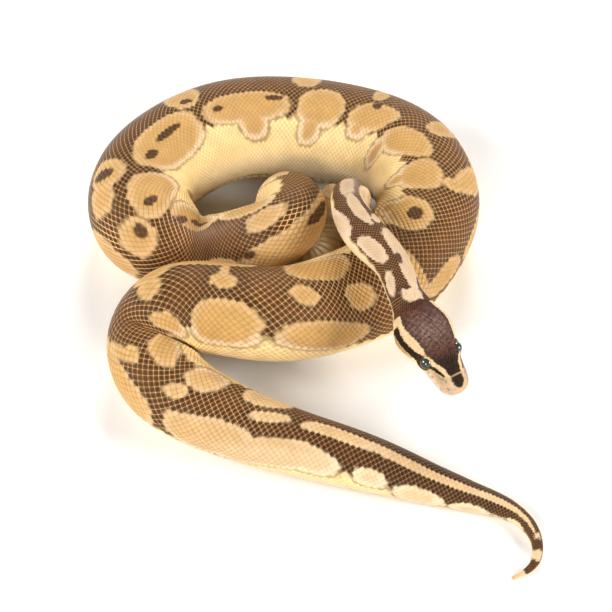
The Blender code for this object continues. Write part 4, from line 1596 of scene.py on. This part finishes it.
@dataclass
class Eyes:
    """The two eyes, each a ball with a slit pupil under a clear spectacle."""

    head: HeadForm
    segments: int = 64
    rings: int = 32
    radius: float = EYE_RADIUS - 0.02
    sunk: float = 0.55
    gaze: tuple = (0.42, 1.0, 0.16)
    slit_half: tuple = (0.55, 1.55)
    out_of_sight: float = 9.0

    def build(self, side: int) -> bpy.types.Object:
        """Add one eye, its pole to the side of the head.

        Args:
            side: 1 for the left eye and -1 for the right one.

        Returns:
            The eye, with the distance from its pupil's slit and from its middle on each vertex.
        """
        bpy.ops.object.select_all(action="DESELECT")
        bpy.ops.mesh.primitive_uv_sphere_add(
            segments=self.segments, ring_count=self.rings, radius=self.radius * MM
        )
        item = bpy.context.active_object
        item.name = item.data.name = "eye_ball_left" if side > 0 else "eye_ball_right"
        bpy.ops.object.shade_smooth()
        x, y, z = EYE_CENTRE
        centre = np.array([x, side * (y - self.sunk), z])
        place = Matrix([list(row) for row in self.head.axes]).transposed().to_4x4()
        place.translation = Vector(self.head.to_world(centre)) * MM
        item.matrix_world = place @ Matrix.Rotation(-side * np.pi / 2, 4, "X")
        bpy.ops.object.transform_apply(location=True, rotation=True, scale=True)
        self.dress(item, centre, side)
        return item

    def dress(self, item: bpy.types.Object, centre: Rows, side: int) -> None:
        """Write the pupil's and the iris's distances on the eye.

        Args:
            item: The eye.
            centre: Its middle, in the head's axes.
            side: 1 for the left eye and -1 for the right one.
        """
        co = np.zeros(len(item.data.vertices) * 3)
        item.data.vertices.foreach_get("co", co)
        local = self.head.to_head(co.reshape(-1, 3) / MM) - centre
        gaze = unit(np.array(self.gaze) * (1, side, 1))
        slit = unit(np.cross(np.cross(gaze, [0.0, 0.0, 1.0]), gaze))
        flat = local - np.outer(local @ gaze, gaze)
        tall, wide = flat @ slit, flat @ np.cross(slit, gaze)
        front = local @ gaze > 0
        from_slit = np.hypot(wide / self.slit_half[0], tall / self.slit_half[1])
        add_attribute(item, "pupil", np.where(front, from_slit, self.out_of_sight))
        add_attribute(item, "iris", np.where(front, np.hypot(wide, tall), EYE_RADIUS))


def linear(code: str) -> tuple[float, float, float, float]:
    """Turn an sRGB hex colour into linear values.

    Args:
        code: Six hex digits.

    Returns:
        Red, green, blue and a full alpha.
    """
    parts = [int(code[i : i + 2], 16) / 255 for i in (0, 2, 4)]
    bent = [p / 12.92 if p <= 0.04045 else ((p + 0.055) / 1.055) ** 2.4 for p in parts]
    return (*bent, 1.0)


def add_node(
    tree: bpy.types.NodeTree, kind: str, settings: dict | None = None, links: dict | None = None
) -> bpy.types.Node:
    """Add a node.

    Args:
        tree: The material's tree.
        kind: The node's type.
        settings: Values by property name, or by input name or number.
        links: Output sockets by the input name or number that they feed.

    Returns:
        The node.
    """
    node = tree.nodes.new(kind)
    for key, value in (settings or {}).items():
        if isinstance(key, str) and hasattr(node, key):
            setattr(node, key, value)
        else:
            node.inputs[key].default_value = value
    for key, socket in (links or {}).items():
        tree.links.new(socket, node.inputs[key])
    return node


class Cover(Enum):
    """What a keratin finish covers."""

    SKIN = "skin"
    SCALE = "scale"
    PLATE = "plate"


@dataclass(frozen=True)
class KeratinFinish:
    """Snake skin and scales: thin beta-keratin over pigment, smooth and faintly glossy.

    Brown melanin makes the ground, yellow pigment the flanks, and the clear outer layer gives the
    eye a soft silky gloss.  A grey sheen on the crown, on the neck and on the fold is painted into
    the colour, and the same colour gives the snout a pinkish tint.
    """

    name: str
    cover: Cover
    gold: str = "F9DA9C"
    belly: str = "E9D2A6"
    brown: str = "4A2209"
    deep_brown: str = "180803"
    tan: str = "C99B57"
    cream: str = "EDD2AC"
    spot: str = "40261A"
    plum: str = "4A2119"
    # Colour of the grey sheen painted on the crown, the neck and the fold, and of the snout's pinkish
    # tint.
    painted_sheen_and_tint: str = "B49C92"
    line_on_dark: str = "F4BE7A"
    line_on_pale: str = "A06C34"
    roughness: float = 0.26
    ior: float = 1.52
    specular: float = 0.13
    variety: float = 0.10

    def material(self) -> bpy.types.Material:
        """Build the material.

        Returns:
            A material whose colour follows the marking attributes.
        """
        made = bpy.data.materials.new(self.name)
        made.use_nodes = True
        tree = made.node_tree
        shader = tree.nodes["Principled BSDF"]
        shader.inputs["Roughness"].default_value = self.roughness
        shader.inputs["IOR"].default_value = self.ior
        shader.inputs["Specular IOR Level"].default_value = self.specular
        read = {
            key: add_node(tree, "ShaderNodeAttribute", {"attribute_name": key}).outputs["Fac"]
            for key in ATTRIBUTES + (() if self.cover is Cover.SKIN else ("rim", "tone"))
        }
        place = add_node(tree, "ShaderNodeTexCoord").outputs["Object"]
        colour = self.grain(tree, self.pigment(tree, read), read, place)
        tree.links.new(colour, shader.inputs["Base Color"])
        # Fine wear of the outer layer, drawn at 0.5 mm, coarser than real, so that it shows.
        fine = add_node(
            tree, "ShaderNodeTexNoise", {"Scale": 2000.0, "Detail": 2.0}, {"Vector": place}
        )
        strength = 0.25 if self.cover is Cover.SKIN else 0.12
        bump = add_node(
            tree, "ShaderNodeBump", {"Strength": strength, "Distance": 0.0002},
            {"Height": fine.outputs["Fac"]},
        )
        tree.links.new(bump.outputs["Normal"], shader.inputs["Normal"])
        return made

    def pigment(self, tree: bpy.types.NodeTree, read: dict) -> bpy.types.NodeSocket:
        """Lay the pigments over each other, the flank's first, and the painted grey sheen last.

        Args:
            tree: The material's tree.
            read: The marking attributes' sockets by name.

        Returns:
            The colour.
        """
        mixes = (
            ("under", self.gold, self.belly), ("deep", self.brown, self.deep_brown),
            ("pale", self.tan, self.cream),
        )
        flank, ground, blotch = (
            add_node(
                tree, "ShaderNodeMix", {"data_type": "RGBA", 6: linear(a), 7: linear(b)},
                {0: read[key]},
            ).outputs[2]
            for key, a, b in mixes
        )
        ground = self.glaze(tree, ground, read["violet"], self.plum, 0.50)
        colour = flank
        for key, layer in (("dark", ground), ("light", blotch)):
            colour = add_node(
                tree, "ShaderNodeMix", {"data_type": "RGBA"}, {0: read[key], 6: colour, 7: layer}
            ).outputs[2]
        colour = self.glaze(tree, colour, read["spot"], self.spot, 0.95)
        # Last comes the painted sheen: a grey highlight painted on the crown, the neck and the fold, and
        # a pinkish tint on the snout.
        return self.glaze(tree, colour, read["painted_sheen_and_tint"], self.painted_sheen_and_tint, 0.55)

    @staticmethod
    def glaze(
        tree: bpy.types.NodeTree, under: bpy.types.NodeSocket, strength: bpy.types.NodeSocket,
        code: str, most: float,
    ) -> bpy.types.NodeSocket:
        """Lay a see-through pigment over a colour.

        Args:
            tree: The material's tree.
            under: The colour below.
            strength: How strongly the pigment shows, from 0 to 1.
            code: The pigment's sRGB hex colour.
            most: How much of the colour below the pigment hides at full strength.

        Returns:
            The colour.
        """
        part = add_node(
            tree, "ShaderNodeMath", {"operation": "MULTIPLY", 1: most}, {0: strength}
        ).outputs[0]
        return add_node(
            tree, "ShaderNodeMix", {"data_type": "RGBA", 7: linear(code)}, {0: part, 6: under}
        ).outputs[2]

    def grain(
        self, tree: bpy.types.NodeTree, colour: bpy.types.NodeSocket, read: dict,
        place: bpy.types.NodeSocket,
    ) -> bpy.types.NodeSocket:
        """Draw the lines between the scales and vary the brightness.

        Args:
            tree: The material's tree.
            colour: The pigments' colour.
            read: The marking attributes' sockets by name.
            place: The Object coordinates.

        Returns:
            The colour.
        """
        bare = add_node(
            tree, "ShaderNodeMath", {"operation": "SUBTRACT", "use_clamp": True},
            {0: read["dark"], 1: read["light"]},
        ).outputs[0]
        line = add_node(
            tree, "ShaderNodeMix",
            {"data_type": "RGBA", 6: linear(self.line_on_pale), 7: linear(self.line_on_dark)},
            {0: bare},
        ).outputs[2]
        # The soft skin between the scales is pale in the dark ground, tan in the pale patches.
        slope, least = (0.30, 0.70) if self.cover is Cover.SKIN else (0.45, 0.50)
        share = add_node(
            tree, "ShaderNodeMath", {"operation": "MULTIPLY_ADD", 1: slope, 2: least}, {0: bare}
        ).outputs[0]
        share = add_node(
            tree, "ShaderNodeMath", {"operation": "MULTIPLY"}, {0: share, 1: read["line"]}
        ).outputs[0]
        if self.cover is not Cover.SKIN:
            share = add_node(
                tree, "ShaderNodeMath", {"operation": "MULTIPLY"}, {0: read["rim"], 1: share}
            ).outputs[0]
        lined = add_node(
            tree, "ShaderNodeMix", {"data_type": "RGBA"}, {0: share, 6: colour, 7: line}
        ).outputs[2]
        bright = self.brightness(tree, bare, read, place)
        return add_node(
            tree, "ShaderNodeVectorMath", {"operation": "SCALE"}, {0: lined, "Scale": bright}
        ).outputs[0]

    def brightness(
        self, tree: bpy.types.NodeTree, bare: bpy.types.NodeSocket, read: dict,
        place: bpy.types.NodeSocket,
    ) -> bpy.types.NodeSocket:
        """Vary the brightness in soft mottles and, on scales, from one scale to the next.

        Args:
            tree: The material's tree.
            bare: How strongly the bare dark ground shows.
            read: The marking attributes' sockets by name.
            place: The Object coordinates.

        Returns:
            A factor near 1.
        """
        # Mottling of the pigment, about 7 mm across.
        patchy = add_node(
            tree, "ShaderNodeTexNoise", {"Scale": 140.0, "Detail": 3.0}, {"Vector": place}
        )
        mottle = add_node(
            tree, "ShaderNodeMapRange",
            {"From Min": 0.3, "From Max": 0.7, "To Min": 0.93, "To Max": 1.06},
            {"Value": patchy.outputs["Fac"]},
        ).outputs["Result"]
        if self.cover is Cover.SKIN:
            return mottle
        # Dark scales differ more than pale ones.
        swing = add_node(
            tree, "ShaderNodeMath",
            {"operation": "MULTIPLY_ADD", 1: 1.5 * self.variety, 2: 0.5 * self.variety}, {0: bare},
        ).outputs[0]
        off = add_node(
            tree, "ShaderNodeMath", {"operation": "SUBTRACT", 1: 0.5}, {0: read["tone"]}
        ).outputs[0]
        each = add_node(
            tree, "ShaderNodeMath", {"operation": "MULTIPLY_ADD", 2: 1.0}, {0: off, 1: swing}
        ).outputs[0]
        return add_node(
            tree, "ShaderNodeMath", {"operation": "MULTIPLY"}, {0: mottle, 1: each}
        ).outputs[0]


@dataclass(frozen=True)
class EyeFinish:
    """A python's eye under its spectacle: a dark iris, a black slit and a wet clear surface.

    The edges are a soft border's start and end: the iris's pale rim in millimetres from the
    pupil's middle, and the slit's in shares of its half width.
    """

    name: str = "spectacle_over_dark_iris"
    pupil: str = "07080A"
    iris: str = "0B1118"
    rim: str = "39443C"
    rim_edge: tuple = (1.7, 2.6)
    rim_most: float = 0.8
    slit_edge: tuple = (0.85, 1.1)
    gloss: tuple = (
        ("Roughness", 0.06), ("IOR", 1.45), ("Coat Weight", 1.0), ("Coat Roughness", 0.02),
    )

    def material(self) -> bpy.types.Material:
        """Build the material.

        Returns:
            A material that reads the eye's pupil and iris attributes.
        """
        made = bpy.data.materials.new(self.name)
        made.use_nodes = True
        tree = made.node_tree
        shader = tree.nodes["Principled BSDF"]
        for key, value in self.gloss:
            shader.inputs[key].default_value = value
        from_slit, from_middle = (
            add_node(tree, "ShaderNodeAttribute", {"attribute_name": key}).outputs["Fac"]
            for key in ("pupil", "iris")
        )
        place = add_node(tree, "ShaderNodeTexCoord").outputs["Object"]
        # Flecks of the iris, about 0.4 mm.
        fleck = add_node(tree, "ShaderNodeTexNoise", {"Scale": 2500.0}, {"Vector": place})
        speck = add_node(
            tree, "ShaderNodeMath", {"operation": "MULTIPLY_ADD", 1: 0.25, 2: -0.05},
            {0: fleck.outputs["Fac"]},
        ).outputs[0]
        low, high = self.rim_edge
        outer = add_node(
            tree, "ShaderNodeMapRange",
            {"From Min": low, "From Max": high, "To Min": 0.0, "To Max": self.rim_most},
            {"Value": from_middle},
        ).outputs["Result"]
        strength = add_node(
            tree, "ShaderNodeMath", {"operation": "ADD", "use_clamp": True}, {0: outer, 1: speck}
        ).outputs[0]
        iris = add_node(
            tree, "ShaderNodeMix",
            {"data_type": "RGBA", 6: linear(self.iris), 7: linear(self.rim)}, {0: strength},
        ).outputs[2]
        low, high = self.slit_edge
        slit = add_node(
            tree, "ShaderNodeMapRange", {"From Min": low, "From Max": high}, {"Value": from_slit}
        ).outputs["Result"]
        colour = add_node(
            tree, "ShaderNodeMix", {"data_type": "RGBA", 6: linear(self.pupil)},
            {0: slit, 7: iris},
        ).outputs[2]
        tree.links.new(colour, shader.inputs["Base Color"])
        return made


@dataclass
class Studio:
    """A plain pale floor, soft light all round and the camera.

    Each lamp is a name, a place and its watts.
    """

    target: tuple = (-2.0, 1.0, 25.0)
    distance: float = 1200.0
    elevation: float = 57.0
    lens: float = 135.7
    sensor: float = 36.0
    floor_radius: float = 2250.0
    floor_colours: tuple = ("F6F5F3", "FFFFFF")
    level_light: float = 0.95
    overhead_light: float = 0.05
    lamp_size: float = 1100.0
    lamps: tuple = (
        ("back_light", (330.0, 2310.0, 1760.0), 53.0),
        ("left_light", (-2200.0, -330.0, 1540.0), 57.0),
        ("front_light", (-550.0, -2420.0, 1400.0), 37.0),
        ("right_light", (2310.0, -660.0, 1190.0), 60.0),
    )

    def build(self) -> None:
        """Add the floor, the lights and the camera."""
        self.floor()
        self.sky()
        for name, place, watts in self.lamps:
            self.lamp(name, place, watts)
        self.camera()

    def floor(self) -> None:
        """Add the floor, with a matt paper finish."""
        bpy.ops.object.select_all(action="DESELECT")
        bpy.ops.mesh.primitive_circle_add(
            vertices=96, radius=self.floor_radius * MM, fill_type="NGON"
        )
        item = bpy.context.active_object
        item.name = item.data.name = "studio_floor"
        # Matt white paper: even, no gloss, with a faint tooth of about 1 mm.
        made = bpy.data.materials.new("matt_white_paper")
        made.use_nodes = True
        tree = made.node_tree
        shader = tree.nodes["Principled BSDF"]
        shader.inputs["Roughness"].default_value = 0.85
        shader.inputs["Specular IOR Level"].default_value = 0.07
        place = add_node(tree, "ShaderNodeTexCoord").outputs["Object"]
        tooth = add_node(tree, "ShaderNodeTexNoise", {"Scale": 900.0}, {"Vector": place})
        low, high = (linear(code) for code in self.floor_colours)
        paper = add_node(
            tree, "ShaderNodeMix", {"data_type": "RGBA", 6: low, 7: high},
            {0: tooth.outputs["Fac"]},
        ).outputs[2]
        tree.links.new(paper, shader.inputs["Base Color"])
        item.data.materials.append(made)

    def sky(self) -> None:
        """Set a white surround that is bright near the floor's level and dim overhead."""
        world = bpy.data.worlds.new("white_surround")
        bpy.context.scene.world = world
        bpy.context.scene.view_settings.view_transform = "Standard"
        world.use_nodes = True
        tree = world.node_tree
        back = tree.nodes["Background"]
        back.inputs["Color"].default_value = (1.0, 1.0, 1.0, 1.0)
        way = add_node(tree, "ShaderNodeTexCoord").outputs["Generated"]
        height = add_node(tree, "ShaderNodeSeparateXYZ", links={0: way}).outputs["Z"]
        # Bright up to 8 degrees above level, then dim, so that the hollow of the coil stays dark.
        fade = add_node(
            tree, "ShaderNodeMapRange",
            {"From Min": 0.14, "From Max": 0.24, "To Min": self.level_light,
             "To Max": self.overhead_light},
            {"Value": height},
        ).outputs["Result"]
        tree.links.new(fade, back.inputs["Strength"])

    def lamp(self, name: str, place: tuple, watts: float) -> None:
        """Add a large soft lamp that faces the animal.

        Args:
            name: The lamp's name.
            place: Its place.
            watts: Its power.
        """
        data = bpy.data.lights.new(name, "AREA")
        data.shape, data.size, data.energy = "DISK", self.lamp_size * MM, watts
        lamp = bpy.data.objects.new(name, data)
        bpy.context.scene.collection.objects.link(lamp)
        lamp.location = Vector(place) * MM
        aim = Vector(self.target) * MM - lamp.location
        lamp.rotation_euler = aim.to_track_quat("-Z", "Y").to_euler()

    def camera(self) -> None:
        """Add the camera, looking down along +Y."""
        data = bpy.data.cameras.new("camera")
        data.lens, data.sensor_width = self.lens, self.sensor
        data.clip_start = 0.05
        camera = bpy.data.objects.new("camera", data)
        bpy.context.scene.collection.objects.link(camera)
        rise = np.radians(self.elevation)
        away = Vector((0.0, -np.cos(rise), np.sin(rise))) * self.distance
        camera.location = (Vector(self.target) + away) * MM
        camera.rotation_euler = (np.pi / 2 - rise, 0.0, 0.0)
        bpy.context.scene.camera = camera


@dataclass
class BallPython:
    """The whole animal: skin, scales, plates and eyes."""

    coat_pieces: int = 9
    unwrap_margin: float = 3.0
    head_span: tuple[float, float] = (-6.0, 60.0)

    def build(self) -> None:
        """Build and dress every piece and tie it to the frame."""
        line = BodyLine()
        head = HeadForm(line)
        form = SkinForm(line, head)
        marks = Markings(line)
        flesh = [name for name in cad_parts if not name.startswith("eye_")]
        skin = Skin(form, marks).build()
        soft = KeratinFinish("snake_skin", Cover.SKIN, roughness=0.5)
        self.tie(skin, soft.material(), "body_scales")
        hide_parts(*flesh)
        self.body_coat(form, marks)
        plates = BellyPlates(form, marks).build()
        wide = KeratinFinish("belly_plate_keratin", Cover.PLATE)
        self.tie(plates, wide.material(), "body_scales")
        small = ScaleShape(corners=7, power=1.9, height=0.36)
        coat = Coat(form, marks, small, follow=1.0)
        piece = coat.build("head_scales", HeadScales(form).seeds(), self.head_span)
        fine = KeratinFinish("head_keratin", Cover.SCALE, variety=0.45)
        self.tie(piece, fine.material(), "head_scales")
        glass = EyeFinish().material()
        for side, node in ((1, "eye_left"), (-1, "eye_right")):
            ball = Eyes(head).build(side)
            self.tie(ball, glass, "eye_surface")
            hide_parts(node)

    def body_coat(self, form: SkinForm, marks: Markings) -> None:
        """Lay the body's scales in pieces of like size, from the neck to the tail.

        Args:
            form: The skin's surface.
            marks: The markings.
        """
        scale = KeratinFinish("smooth_keratin_scales", Cover.SCALE).material()
        seeds = BodyScales(form).seeds()
        edges = np.quantile(seeds.at, np.linspace(0, 1, self.coat_pieces + 1))
        edges[-1] += 1.0
        coat = Coat(form, marks)
        for i, (first, last) in enumerate(zip(edges, edges[1:]), 1):
            chosen = seeds.part((seeds.at >= first) & (seeds.at < last))
            span = (first - self.unwrap_margin, last + self.unwrap_margin)
            piece = coat.build(f"body_scales_{i}", chosen, span)
            self.tie(piece, scale, "body_scales")

    @staticmethod
    def tie(item: bpy.types.Object, material: bpy.types.Material, slot: str) -> None:
        """Dress a piece, make it ride on the frame and report it.

        Args:
            item: The piece.
            material: Its finish.
            slot: The frame's material slot that it stands for; not used.
        """
        item.data.materials.append(material)
        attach(item, "root")
        log.info("%s: %d faces", item.name, len(item.data.polygons))


def main() -> None:
    """Build the animal and the studio."""
    logging.basicConfig(level=logging.INFO, format="%(name)s %(message)s")
    BallPython().build()
    Studio().build()


if __name__ == "__main__":
    main()
